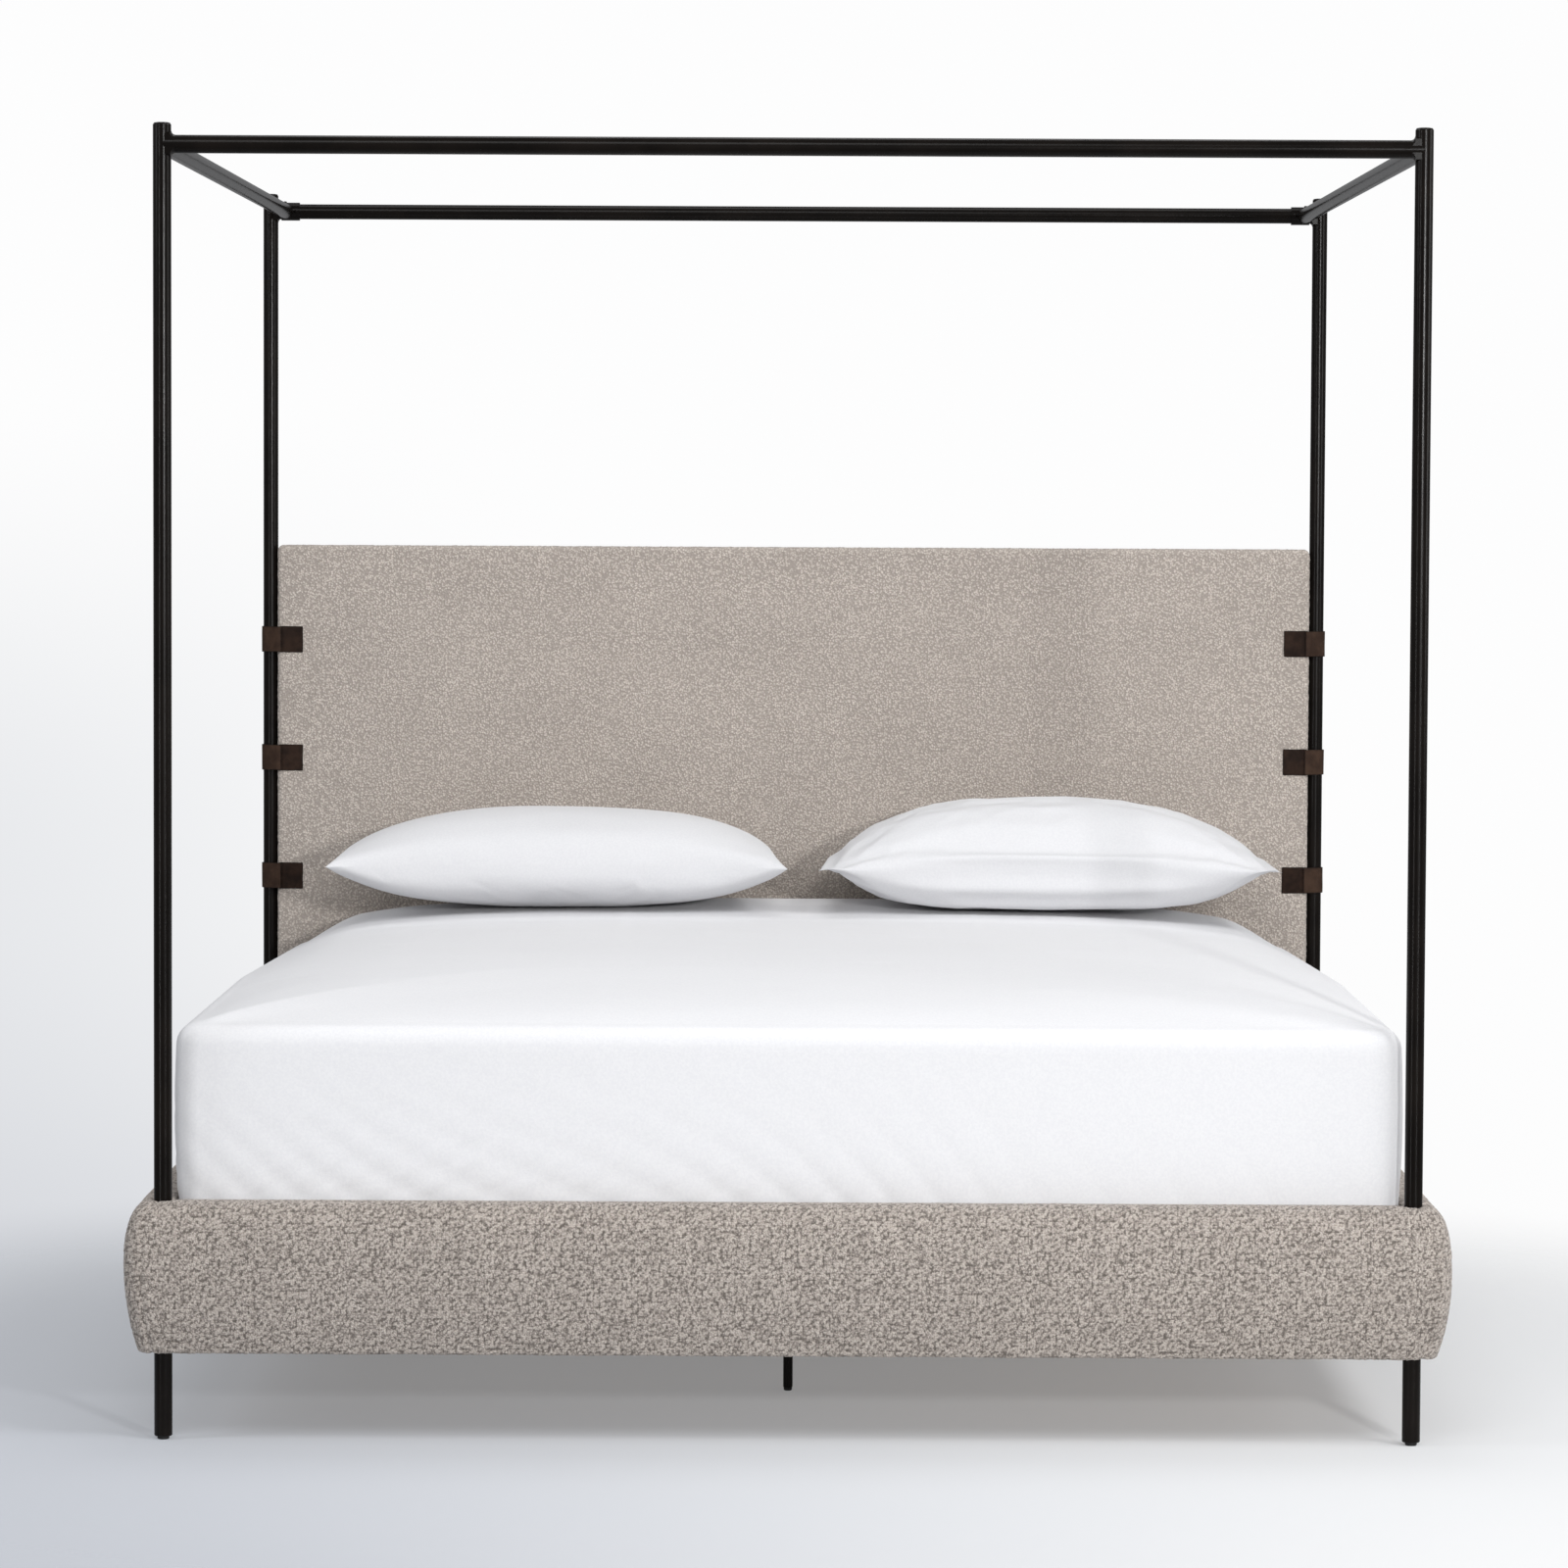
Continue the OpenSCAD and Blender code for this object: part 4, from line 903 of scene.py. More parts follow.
# %% [markdown]
# ## The headboard
# One tall pad, upholstered on both sides, that hangs between the rear posts. Its faces are almost
# flat, with a slight crown that fades out before the straps, and its edge is a small round. It is a
# soft block that stands on edge: the block's first axis is X, its second is Z, and its top faces the
# foot of the bed.

# %% Headboard
HEAD_STEP = 5.6 * MM
HEAD_EDGE_R = 9 * MM
HEAD_CORNER_R = 12 * MM
HEAD_CROWN = 2.5 * MM
HEAD_LOOP_PITCH = 10.5 * MM


def make_headboard():
    """A soft block on edge. Its crown starts 70 mm in from the posts, and both faces carry low loops and
    a slow unevenness that fade out at the rim."""
    low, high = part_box("headboard_cover")
    half_a, half_b, half_c = (high.x - low.x) / 2, (high.z - low.z) / 2, (high.y - low.y) / 2
    rim = make_rim(half_a, half_b, HEAD_CORNER_R, HEAD_STEP, HEAD_STEP)
    a = np.radians(np.linspace(0, 90, 5))
    quarter = np.stack([HEAD_EDGE_R * (1 - np.cos(a)), half_c - HEAD_EDGE_R * (1 - np.sin(a))], -1)
    side = np.stack([np.zeros(4), np.linspace(-1, 1, 6)[1:-1] * (half_c - HEAD_EDGE_R)], -1)
    steps = np.concatenate([quarter[::-1] * [1, -1], side, quarter])
    rings = [rim_row(rim, half_a - inset, half_b - inset, HEAD_CORNER_R - inset) for inset, _ in steps]
    rows = np.stack([np.column_stack([ring, np.full(len(ring), c)])
                     for ring, (_, c) in zip(rings[1:-1], steps[1:-1])])
    plan = face_lattice(rim, rings[-1])
    from_side = half_a - np.abs(plan[..., 0])
    from_end = half_b - np.abs(plan[..., 1])
    crown = HEAD_CROWN * np.clip((from_side - 0.07) / 0.15, 0, 1) * np.clip(from_end / 0.15, 0, 1)
    relief = loop_relief(plan[..., 0] + half_a, plan[..., 1] + half_b, HEAD_LOOP_PITCH, 5) * MM
    relief += slow_waves(plan[..., 0], plan[..., 1], 0.3, 6) * 0.5 * MM
    fade = np.clip(np.minimum(from_side, from_end) / 0.02 - 0.45, 0, 1)
    face = np.concatenate([plan, (half_c + crown + relief * fade)[..., None]], -1)
    back = face * [1, 1, -1]
    points, faces = block_mesh(rim, rows, face, back)
    rng = np.random.default_rng(9)
    first = face.shape[0] * face.shape[1]
    rim_part = slice(first, first + rows.shape[0] * rows.shape[1])
    points[rim_part] += rng.normal(0, 0.35 * MM, points[rim_part].shape)
    middle = (low + high) / 2
    placed = np.stack([middle.x + points[:, 0], middle.y - points[:, 2], middle.z + points[:, 1]], -1)
    piece = build("headboard_padding", placed, faces, flat_boucle)
    settle(piece, "bed_frame", "boucle", "headboard_cover", "headboard_foam")


make_headboard()

# %% [markdown]
# ## Leather patches and straps
# Three straps on each side hold the headboard to its posts. Each is a flat strip of leather carried
# round the tube, with its tails lying on darker patches that are screwed to the headboard. Hand cut
# leather is never quite straight, so each edge wanders by a few tenths of a millimetre, and the cut
# edges carry the attribute that the leather material darkens.

# %% Patches
STRAPS = [side + "_" + level + "_strap" for side in ("left", "right") for level in ("top", "middle", "low")]
PATCH_INNER_X = REAR_X - 0.064
PATCH_TALLER = 0.8 * MM
PATCH_ROUND = 1.6 * MM
PATCH_BEVEL = 0.5 * MM


def mark_edges(piece, share):
    """Writes the attribute that the leather darkens: 1 at a cut edge, 0 away from it."""
    attribute = piece.data.attributes.new(EDGE, "FLOAT", "POINT")
    attribute.data.foreach_set("value", share.astype(np.float32))


def flat_patch():
    """One patch lying flat: a soft block with a small bevel, its half sizes, and its faces."""
    low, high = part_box("strap_patches")
    strap_low, strap_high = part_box(STRAPS[3])
    outer_x = min(high.x, REAR_X - TUBE_R - 3 * MM)
    patch_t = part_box("headboard_cover")[0].y - low.y
    half = ((outer_x - PATCH_INNER_X) / 2, (strap_high.z - strap_low.z) / 2 + PATCH_TALLER, patch_t / 2)
    rim = make_rim(half[0], half[1], PATCH_ROUND, PATCH_ROUND, PATCH_ROUND)
    edge = rim_row(rim, half[0], half[1], PATCH_ROUND)
    rows = np.stack([np.column_stack([edge, np.full(len(edge), h)]) for h in (-half[2] * 0.4, half[2] * 0.5)])
    plan = face_lattice(rim, rim_row(rim, half[0] - PATCH_BEVEL, half[1] - PATCH_BEVEL,
                                     PATCH_ROUND - PATCH_BEVEL))
    top = np.concatenate([plan, np.full(plan.shape[:2] + (1,), half[2])], -1)
    flat, faces = block_mesh(rim, rows, top, top * [1, 1, -1])
    return flat, faces, half


def make_patches():
    """A patch in front of the headboard and one behind it under each strap, all in one mesh."""
    board_low, board_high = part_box("headboard_cover")
    flat, faces, half = flat_patch()
    all_points, all_faces = [], []
    rng = np.random.default_rng(21)
    for name in STRAPS:
        strap_low, strap_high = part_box(name)
        side = 1 if strap_low.x > 0 else -1
        for face_y, way in ((board_low.y, -1), (board_high.y, 1)):
            wander = slow_waves(flat[:, 1] + rng.uniform(0, 9), flat[:, 0], 0.03, 3) * 0.25 * MM
            x = side * (PATCH_INNER_X + half[0] + flat[:, 0] + wander)
            y = face_y + way * (half[2] + flat[:, 2])
            z = (strap_low.z + strap_high.z) / 2 + flat[:, 1] + wander
            all_faces.append(faces + len(flat) * len(all_points))
            all_points.append(np.stack([x, y, z], -1))
    piece = build("strap_patches_leather", np.concatenate(all_points), np.concatenate(all_faces),
                  patch_leather)
    co = vertex_array(piece)
    middle = np.array([(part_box(name)[0].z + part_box(name)[1].z) / 2 for name in STRAPS[:3]])
    up = np.abs(co[:, 2:3] - middle).min(axis=1)
    from_edge = np.minimum(half[1] - up, np.abs(co[:, 0]) - PATCH_INNER_X)
    mark_edges(piece, np.clip(1 - from_edge / PATCH_ROUND, 0, 1))
    settle(piece, "bed_frame", "leather", "strap_patches")


make_patches()

# %% Straps
STRAP_ROWS = 34
STRAP_TAIL = 0.022


def strap_path(face, half_t):
    """Plan of a strap's middle line round a post at the origin, outwards along +X: along the patch, a
    straight run to the tube, the arc round it, and back. A moving mean rounds the two bends."""
    radius = TUBE_R + 0.2 * MM + half_t
    bend = np.array([-TUBE_R - 1.2 * MM, -face - half_t])
    touch = math.atan2(bend[1], bend[0]) + math.acos(radius / np.hypot(*bend))
    a = np.linspace(touch, -touch, 40)
    arc = radius * np.stack([np.cos(a), np.sin(a)], -1)
    tail = np.array([[-STRAP_TAIL, bend[1]], bend])
    line = evenly(np.concatenate([tail, arc, (tail * [1, -1])[::-1]]), 1.0 * MM)
    ends = np.pad(line, ((3, 3), (0, 0)), mode="reflect", reflect_type="odd")
    return np.stack([np.convolve(ends[:, k], np.ones(7) / 7, "valid") for k in (0, 1)], -1)


def make_strap(name, seed):
    """A thin section, taller than it is thick and a little swollen outside, carried along the path."""
    low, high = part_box(name)
    side = 1 if low.x > 0 else -1
    patch_low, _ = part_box("strap_patches")
    strap_t = patch_low.y - low.y
    half_h, half_t = (high.z - low.z) / 2, strap_t / 2
    line = strap_path(REAR_Y - patch_low.y + 0.1 * MM, half_t)
    way = np.gradient(line, axis=0)
    way /= np.linalg.norm(way, axis=1, keepdims=True)
    out = np.stack([way[:, 1], -way[:, 0]], -1)
    heights = np.linspace(-1, 1, STRAP_ROWS) * (half_h - 0.6 * MM)
    outer = np.column_stack([np.full(STRAP_ROWS, half_t), heights])
    lip = np.array([[half_t * 0.6, half_h], [-half_t * 0.6, half_h]])
    section = np.concatenate([outer, lip, outer[::-1] * [-1, 1], lip[::-1] * [1, -1]])
    points = np.empty((len(line), len(section), 3))
    points[..., :2] = line[:, None] + out[:, None] * section[None, :, :1]
    run = running(line)[:, None]
    wander = slow_waves(run, np.zeros_like(run), 0.045, seed) * 0.5 * MM
    swell = slow_waves(run, section[None, :, 1] * np.ones_like(run), 0.05, seed + 1) * 0.18 * MM
    points[..., :2] += out[:, None] * (swell * (section[:, 0] > 0))[..., None]
    points[..., 2] = section[:, 1] + wander * np.sign(section[:, 1]) * (np.abs(section[:, 1]) / half_h) ** 4
    placed = points.copy()
    placed[..., 0] = side * (REAR_X + points[..., 0])
    placed[..., 1] = REAR_Y + points[..., 1]
    placed[..., 2] = (low.z + high.z) / 2 + points[..., 2]
    index = np.arange(points.shape[0] * points.shape[1]).reshape(points.shape[:2])
    piece = build(name + "_leather", placed, grid_faces(index, around=True), strap_leather,
                  caps=(index[0], index[-1][::-1]), merge=0)
    from_edge = half_h - np.abs(points[..., 2])
    from_tail = np.minimum(run, run[-1] - run)
    mark_edges(piece, np.clip(1 - np.minimum(from_edge, from_tail) / (1.8 * MM), 0, 1).ravel())
    settle(piece, "bed_frame", "leather", name)


for number, name in enumerate(STRAPS):
    make_strap(name, 60 + 2 * number)

# %% [markdown]
# ## The tapes that tie the slats
# Two cotton tapes run over the slats and keep them a hand apart. Each is a thin strip that lies on
# the timber and sinks a little between one slat and the next, so it is a sheet of cloth cut to its
# own width and length.

# %% Slat tapes
TAPE_T = 0.8 * MM
TAPE_SAG = 1.6 * MM
SLAT_W = 0.07
SLAT_GAPS = 12


def make_tape(side, word):
    """A strip that sags by a sine between one slat and the next, and is cupped across its width."""
    low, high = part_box("slat_webbing")
    slat_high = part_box("slats")[1].z
    half_w = 15 * MM
    middle = side * ((high.x - low.x) / 2 - half_w)
    y = np.linspace(low.y, high.y, 420)
    across = np.linspace(-1, 1, 9)
    pitch = (high.y - low.y - SLAT_W) / SLAT_GAPS
    between = np.clip(np.sin(math.pi * (((y - low.y - SLAT_W) / pitch) % 1)), 0, 1) ** 0.7
    sag = np.where((y > low.y + SLAT_W) & (y < high.y - SLAT_W), between, 0) * TAPE_SAG
    cup = 0.25 * MM * (1 - across ** 2)
    points = np.empty((len(y), 9, 3))
    points[..., 0] = middle + half_w * across
    points[..., 1] = y[:, None]
    points[..., 2] = slat_high + 0.75 * MM - sag[:, None] + cup
    index = np.arange(points[..., 0].size).reshape(points.shape[:2])
    piece = build(word + "_slat_tape", points, grid_faces(index), tape_cotton)
    thick = piece.modifiers.new("thickness", "SOLIDIFY")
    thick.thickness = TAPE_T
    thick.offset = 0
    settle(piece, "bed_frame", "ticking", "slat_webbing")


make_tape(-1, "left")
make_tape(1, "right")

# %% [markdown]
# ## The mattress
# A deep pocket-sprung mattress with a crown. It shows only where the sheet leaves it bare, which is
# the middle of its underside. It is a soft block: level rows for the lower edge, the wall and the
# upper edge, and a lattice for the top and for the underside. The crown rises by an exponential of
# the distance from the edge, so it is steep at the rim and flat over most of the bed.

# %% The form of the mattress
mattress_low, mattress_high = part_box("mattress")
MATTRESS_HALF = ((mattress_high.x - mattress_low.x) / 2, (mattress_high.y - mattress_low.y) / 2)
MATTRESS_Y = (mattress_high.y + mattress_low.y) / 2
MATTRESS_EDGE_R = 30 * MM
MATTRESS_CORNER_R = 38 * MM
CROWN_REACH = 0.17
HEAD_REACH = 0.02
CROWN = 60 * MM
EDGE_TOP = mattress_high.z - CROWN


def corner_radius(inset):
    """The plan's corners grow tighter as a row moves in, but never sharper than 22 mm."""
    return max(MATTRESS_CORNER_R - 0.3 * inset, 22 * MM)


def crown_height(x, y):
    """Height of the crown over the edge: it rises with the distance in from the upper edge's line at
    the sides and at the foot, and much faster at the head, where the pillows lie."""
    side = MATTRESS_HALF[0] - MATTRESS_EDGE_R - np.abs(x)
    foot = MATTRESS_HALF[1] - MATTRESS_EDGE_R + y
    head = np.clip(MATTRESS_HALF[1] - MATTRESS_EDGE_R - y, 0, None)
    corner = corner_radius(MATTRESS_EDGE_R)
    short = np.hypot(np.clip(corner - side, 0, None), np.clip(corner - foot, 0, None))
    distance = np.where(short > 0, corner - short, np.minimum(side, foot))
    rise = 1 - np.exp(-np.clip(distance, 0, None) / CROWN_REACH)
    plump = 0.85 + 0.3 * np.clip((y - 0.52) / 0.48, 0, 1)
    return CROWN * rise * plump * (1 - np.exp(-head / HEAD_REACH))


def sink_shoulders(points):
    """The upper edges are worn lower towards the head: by up to 32 mm, where the springs are tired."""
    towards_head = np.clip((points[:, 1] + 0.1) / 1.1, 0, 1)
    side = np.clip((np.abs(points[:, 0]) - 0.82) / 0.14, 0, 1)
    upper = np.clip((points[:, 2] - 0.45) / 0.18, 0, 1)
    points[:, 2] -= 32 * MM * towards_head * side ** 2 * (3 - 2 * side) * upper
    return points


def edge_steps(grow, wall_rows, edge_rows):
    """Insets and heights of the rows from the underside to the top: a quarter circle, the wall, and
    another quarter circle. grow moves them all outwards."""
    a = np.radians(np.linspace(0, 90, edge_rows))
    radius, bottom = MATTRESS_EDGE_R, mattress_low.z
    lower = np.stack([radius * (1 - np.sin(a)) - grow,
                      bottom + radius * (1 - np.cos(a)) - grow * np.cos(a)], -1)
    upper = np.stack([radius * (1 - np.cos(a)) - grow,
                      EDGE_TOP - radius * (1 - np.sin(a)) + grow * np.sin(a)], -1)
    wall = np.linspace(lower[-1], upper[0], wall_rows + 2)[1:-1]
    return np.concatenate([lower, wall, upper])


# %% Mattress
QUILT_PITCH = 0.16


def make_mattress():
    """A soft block 5 mm inside the sheet; its underside is quilted by a product of two sines."""
    rim = make_rim(*MATTRESS_HALF, MATTRESS_CORNER_R, 30 * MM, 30 * MM)
    steps = edge_steps(-5 * MM, 9, 6)
    rings = [rim_row(rim, MATTRESS_HALF[0] - i, MATTRESS_HALF[1] - i, corner_radius(i)) for i, _ in steps]
    rows = np.stack([np.column_stack([ring, np.full(len(ring), z)])
                     for ring, (_, z) in zip(rings[1:-1], steps[1:-1])])
    plan = face_lattice(rim, rings[-1])
    top = np.concatenate([plan, (steps[-1][1] + crown_height(plan[..., 0], plan[..., 1]))[..., None]], -1)
    under = face_lattice(rim, rings[0])
    quilt = 1.2 * MM * np.abs(np.sin(under[..., 0] * math.pi / QUILT_PITCH)
                            * np.sin(under[..., 1] * math.pi / QUILT_PITCH))
    bottom = np.concatenate([under, (steps[0][1] + quilt)[..., None]], -1)
    points, faces = block_mesh(rim, rows, top, bottom)
    points = sink_shoulders(points)
    points[:, 1] += MATTRESS_Y
    piece = build("mattress_ticking", points, faces, ticking)
    smooth = piece.modifiers.new("smooth", "SUBSURF")
    smooth.levels = smooth.render_levels = 1
    settle(piece, "mattress_body", "ticking", "mattress")


make_mattress()

# %% [markdown]
# ## The fitted sheet
# A fitted sheet is cut as one rectangle with its corners sewn into pockets, and elastic draws its
# hem in under the mattress. Stretched over the crown it is almost smooth. What shows is faint: long
# shallow waves on top, folds pressed in from the packet, and slanting gathers where the elastic
# draws at the corners and low on the front. Each is a formula of the place along the rim and up the
# wall. The gathers only go inwards, because the posts stand two millimetres from the sheet.

# %% Folds of the sheet
def gathers(run, up, length):
    """Narrow slanting valleys that fade upwards from the hem: minus exp(-(sin(phase) / width)^2). run is
    the place round the rim and length the whole way round, so the valleys meet where the rim closes."""
    turns = 2 * math.pi * run / length
    slant = up * (2.2 + 1.2 * np.sin(3 * turns + 0.5))
    first = np.exp(-(np.sin(41 * turns + 16 * slant + 1.8 * np.sin(7 * turns)) / 0.3) ** 2)
    second = np.exp(-(np.sin(63 * turns - 21 * slant + 2.2 * np.sin(5 * turns + 1)) / 0.35) ** 2)
    where = 0.25 + 0.75 * np.clip(np.sin(2 * turns + 0.9) + 0.3 * np.sin(9 * turns), 0, 1)
    return -(first + 0.6 * second) * where * np.exp(-np.clip(up, 0, None) / 0.10)


def corner_tucks(normals, up):
    """Folds that fan out at the sewn corners, strongest where the rim turns."""
    angle = np.arctan2(normals[:, 1], normals[:, 0])
    turn = np.abs(np.sin(2 * angle))
    return -turn ** 2 * (0.5 + 0.5 * np.cos(angle * 26 + up * 9)) * np.exp(-np.clip(up, 0, None) / 0.2)


def top_waves(x, y):
    """Shallow waves and the packet's two folds, which cross the sheet as fine ridges."""
    waves = slow_waves(x, y, 0.42, 71) * 1.1 * MM + slow_waves(x, y * 2.2, 0.16, 72) * 0.35 * MM
    for line, wander in ((x + 0.31, y), (x - 0.34, y), (y + 0.36, x)):
        bent = line + 4 * MM * np.sin(wander * 5)
        waves = waves + 0.9 * MM * np.exp(-(bent / 0.006) ** 2) * (0.6 + 0.4 * np.sin(wander * 4 + line))
    return waves


# %% Fitted sheet
SHEET_T = 1.5 * MM
HEM = 90 * MM
SHEET_STEP = 9.2 * MM
WALL_ROW = 18
GATHER_DEPTH = 5.0 * MM
TUCK_DEPTH = 1.6 * MM
BELLY = 5.5 * MM


def make_sheet():
    """The mattress's block without an underside: the hem's rows lead in under it, the wall's rows carry
    the folds and a slight belly, and the top's lattice carries the waves."""
    rim = make_rim(*MATTRESS_HALF, MATTRESS_CORNER_R, SHEET_STEP, SHEET_STEP)
    steps = edge_steps(SHEET_T * 0.6, 22, 7)
    hem_z = steps[0][1]
    hem = np.stack([MATTRESS_EDGE_R + np.linspace(HEM, 0, 7)[:-1], np.full(6, hem_z)], -1)
    steps = np.concatenate([hem, steps])
    rings = np.stack([rim_row(rim, MATTRESS_HALF[0] - i, MATTRESS_HALF[1] - i, corner_radius(i))
                      for i, _ in steps])
    heights = steps[:, 1]
    run = running(np.concatenate([rings[WALL_ROW], rings[WALL_ROW][:1]]))
    up = heights[:, None] - (RAIL_TOP - 0.03)
    fold = gathers(run[None, :-1], up, run[-1]) * GATHER_DEPTH + corner_tucks(rim[1], up) * TUCK_DEPTH
    on_wall = np.clip((EDGE_TOP - heights) / 0.06, 0, 1) * (heights > hem_z + 0.02)
    belly = BELLY * np.sin(math.pi * np.clip((heights - RAIL_TOP) / (EDGE_TOP - RAIL_TOP), 0, 1)) ** 0.7
    belly = belly[:, None] * np.clip(np.abs(rim[1][:, 0]) * 1.4, 0, 1)
    rings = rings + rim[1][None] * (fold * on_wall[:, None] + belly)[..., None]
    rows = np.concatenate([rings, np.broadcast_to(heights[:, None, None], rings.shape[:2] + (1,))], -1)
    plan = face_lattice(rim, rings[-1])
    crown = crown_height(plan[..., 0], plan[..., 1])
    inside = np.clip(crown / (12 * MM), 0, 1)
    height = heights[-1] + crown + top_waves(plan[..., 0], plan[..., 1]) * inside
    top = np.concatenate([plan, height[..., None]], -1)
    points, faces = block_mesh(rim, rows[:-1], top)
    points = sink_shoulders(points)
    points[:, 1] += MATTRESS_Y
    piece = build("fitted_sheet_cotton", points, faces, white_cotton)
    settle(piece, "mattress_body", "white_linen", "fitted_sheet")


make_sheet()

# %% [markdown]
# ## The pillows
# A pillowcase is two rectangles sewn edge to edge. Filled, its sides draw in between the corners, so
# that each corner stands out as a pointed ear, and its seam floats at mid height. The starting form
# says this in a formula: one lattice above and one below share their rim, the rim's sides are drawn
# in by a parabola, and the height falls to nothing at the rim. Blender's Cloth then blows the form
# up a little, which puts real tension folds into the case. A cap on the movement keeps the form in
# the place that the CAD pillow holds, and the underside settles on the sheet.

# %% Pillow form
PILLOW_CELLS = (116, 62)
SIDE_DRAW, END_DRAW = 17 * MM, 15 * MM
REAR_TAPER = 42 * MM
SPREAD = math.pi / 2 * 0.86


def pillow_form(half_a, half_b, up, down, lean, seed):
    """Two lattices over the same plan. The plan's sides are drawn in by a parabola. Above, the height is
    (1 - u^3.4)^0.9 times (1 - v^2.6)^0.75; below, the powers are higher, so the underside is flatter.
    The lattices' lines lie closer together towards the rim, by a sine."""
    u, v = (np.sin(np.linspace(-1, 1, cells + 1) * SPREAD) / math.sin(SPREAD) for cells in PILLOW_CELLS)
    u, v = u[None, :], v[:, None]
    x = u * (half_a - END_DRAW * (1 - v ** 2) - REAR_TAPER * np.clip(v, 0, 1))
    y = v * (half_b - SIDE_DRAW * (1 - u ** 4))
    top = up * (1 - np.abs(u) ** 3.4) ** 0.9 * (1 - np.abs(v) ** 2.6) ** 0.75
    under = down * (1 - np.abs(u) ** 5) ** 1.2 * (1 - np.abs(v) ** 6) ** 0.62
    dents = 1 + 0.035 * slow_waves(x, y, 0.3, seed) + lean * x / half_a
    return x, y, top * dents, under


def pillow_mesh(x, y, top, under, name):
    """One closed mesh: the lower lattice shares the upper one's outer points, which are the seam."""
    shape = x.shape
    upper = np.stack([x, y, top], -1)
    lower = np.stack([x, y, -under], -1)[1:-1, 1:-1]
    index = np.arange(x.size).reshape(shape)
    below = index.copy()
    below[1:-1, 1:-1] = x.size + np.arange(lower[..., 0].size).reshape(lower.shape[:2])
    points = np.concatenate([upper.reshape(-1, 3), lower.reshape(-1, 3)])
    faces = np.concatenate([grid_faces(index), grid_faces(below)[:, ::-1]])
    return build(name, points, faces, pillow_cotton_painted_shade, merge=0)


# %% Blow up the pillow
PRESSURE = 1.8
FRAMES = 11
CAP = 16 * MM


def inflate(piece):
    """Cloth with pressure and no gravity, for FRAMES frames. No point may end further than CAP away."""
    before = vertex_array(piece)
    cloth = piece.modifiers.new("cloth", "CLOTH")
    cloth.settings.use_pressure = True
    cloth.settings.uniform_pressure_force = PRESSURE
    cloth.settings.shrink_min = -0.01
    cloth.settings.quality = 8
    cloth.settings.effector_weights.gravity = 0
    cloth.settings.tension_stiffness = 25
    cloth.settings.compression_stiffness = 25
    cloth.settings.bending_stiffness = 0.15
    cloth.point_cache.frame_start, cloth.point_cache.frame_end = 1, FRAMES
    for number in range(1, FRAMES + 1):
        bpy.context.scene.frame_set(number)
    shown = piece.evaluated_get(bpy.context.evaluated_depsgraph_get())
    after = np.empty(len(before) * 3, np.float32)
    shown.data.vertices.foreach_get("co", after)
    piece.modifiers.remove(cloth)
    bpy.context.scene.frame_set(1)
    move = after.reshape(-1, 3) - before
    move -= move.mean(axis=0)
    far = np.linalg.norm(move, axis=1, keepdims=True)
    print(piece.name, "moved up to", round(float(far.max()) * 1000, 1), "mm")
    return before + move * np.minimum(1, CAP / np.maximum(far, 1e-9))


# %% Pillows
PILLOW_START = 12 * MM
SOFT = 6 * MM


def rest_on_sheet(points, lift):
    """Nothing goes below the sheet: a soft maximum of the point's height and the sheet's height."""
    floor = EDGE_TOP + SHEET_T + crown_height(points[:, 0], points[:, 1] - MATTRESS_Y) + lift
    over = points[:, 2] - floor
    points[:, 2] = floor + np.where(over > SOFT, over, SOFT * np.exp(np.clip(over / SOFT, -30, 1) - 1))
    return points


def make_pillow(word, tall, lean, seed):
    """Forms, blows up and settles one pillow, whose crest reaches the height tall."""
    low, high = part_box(word + "_pillow")
    half_a, half_b = (high.x - low.x) / 2, (high.y - low.y) / 2
    middle = (low + high) / 2
    seam = low.z + 0.40 * (high.z - low.z)
    form = pillow_form(half_a - 2 * MM, half_b - PILLOW_START, tall - seam - PILLOW_START, seam - low.z,
                       lean, seed)
    piece = pillow_mesh(*form, word + "_pillow_case")
    points = inflate(piece)
    points[:, 2] *= np.where(points[:, 2] > 0, (tall - seam) / points[:, 2].max(),
                             (low.z - seam - 1 * MM) / points[:, 2].min())
    points += np.array([middle.x, middle.y, seam])
    points = rest_on_sheet(points, 1.5 * MM)
    piece.data.vertices.foreach_set("co", points.astype(np.float32).ravel())
    piece.data.update()
    smooth = piece.modifiers.new("smooth", "SUBSURF")
    smooth.levels = smooth.render_levels = 1
    settle(piece, word + "_pillow_body", "white_linen", word + "_pillow")
    print(piece.name, "top at", round(float(points[:, 2].max()), 3))


make_pillow("left", 0.899, 0.02, 81)
make_pillow("right", 0.922, -0.03, 86)

# %% [markdown]
# ## Floor and light
# The bed stands in a white studio. The floor is a wide disc that fades out before its edge, so no
# horizon shows from any side. Its colour is painted darker and bluer towards the left and a little
# towards the front, as painted shade, and it glows a little, as painted light that keeps the shadows
# light. A large soft box high on the right does most of the work, a broad one in front fills the
# covers, two weaker ones stand at the sides and one hangs overhead. A small low lamp draws the long
# soft shadows of the feet.
# Two narrow strips light only the gloss: they draw the bright lines down the posts.

# %% Floor
FLOOR_R = 4.0
# The floor's colour runs from DIM_FLOOR to LIT_FLOOR as painted shade and light; FLOOR_GLOW is painted light.
LIT_FLOOR = (0.585, 0.589, 0.593, 1)
DIM_FLOOR = (0.36, 0.376, 0.412, 1)
FLOOR_GLOW = 0.20


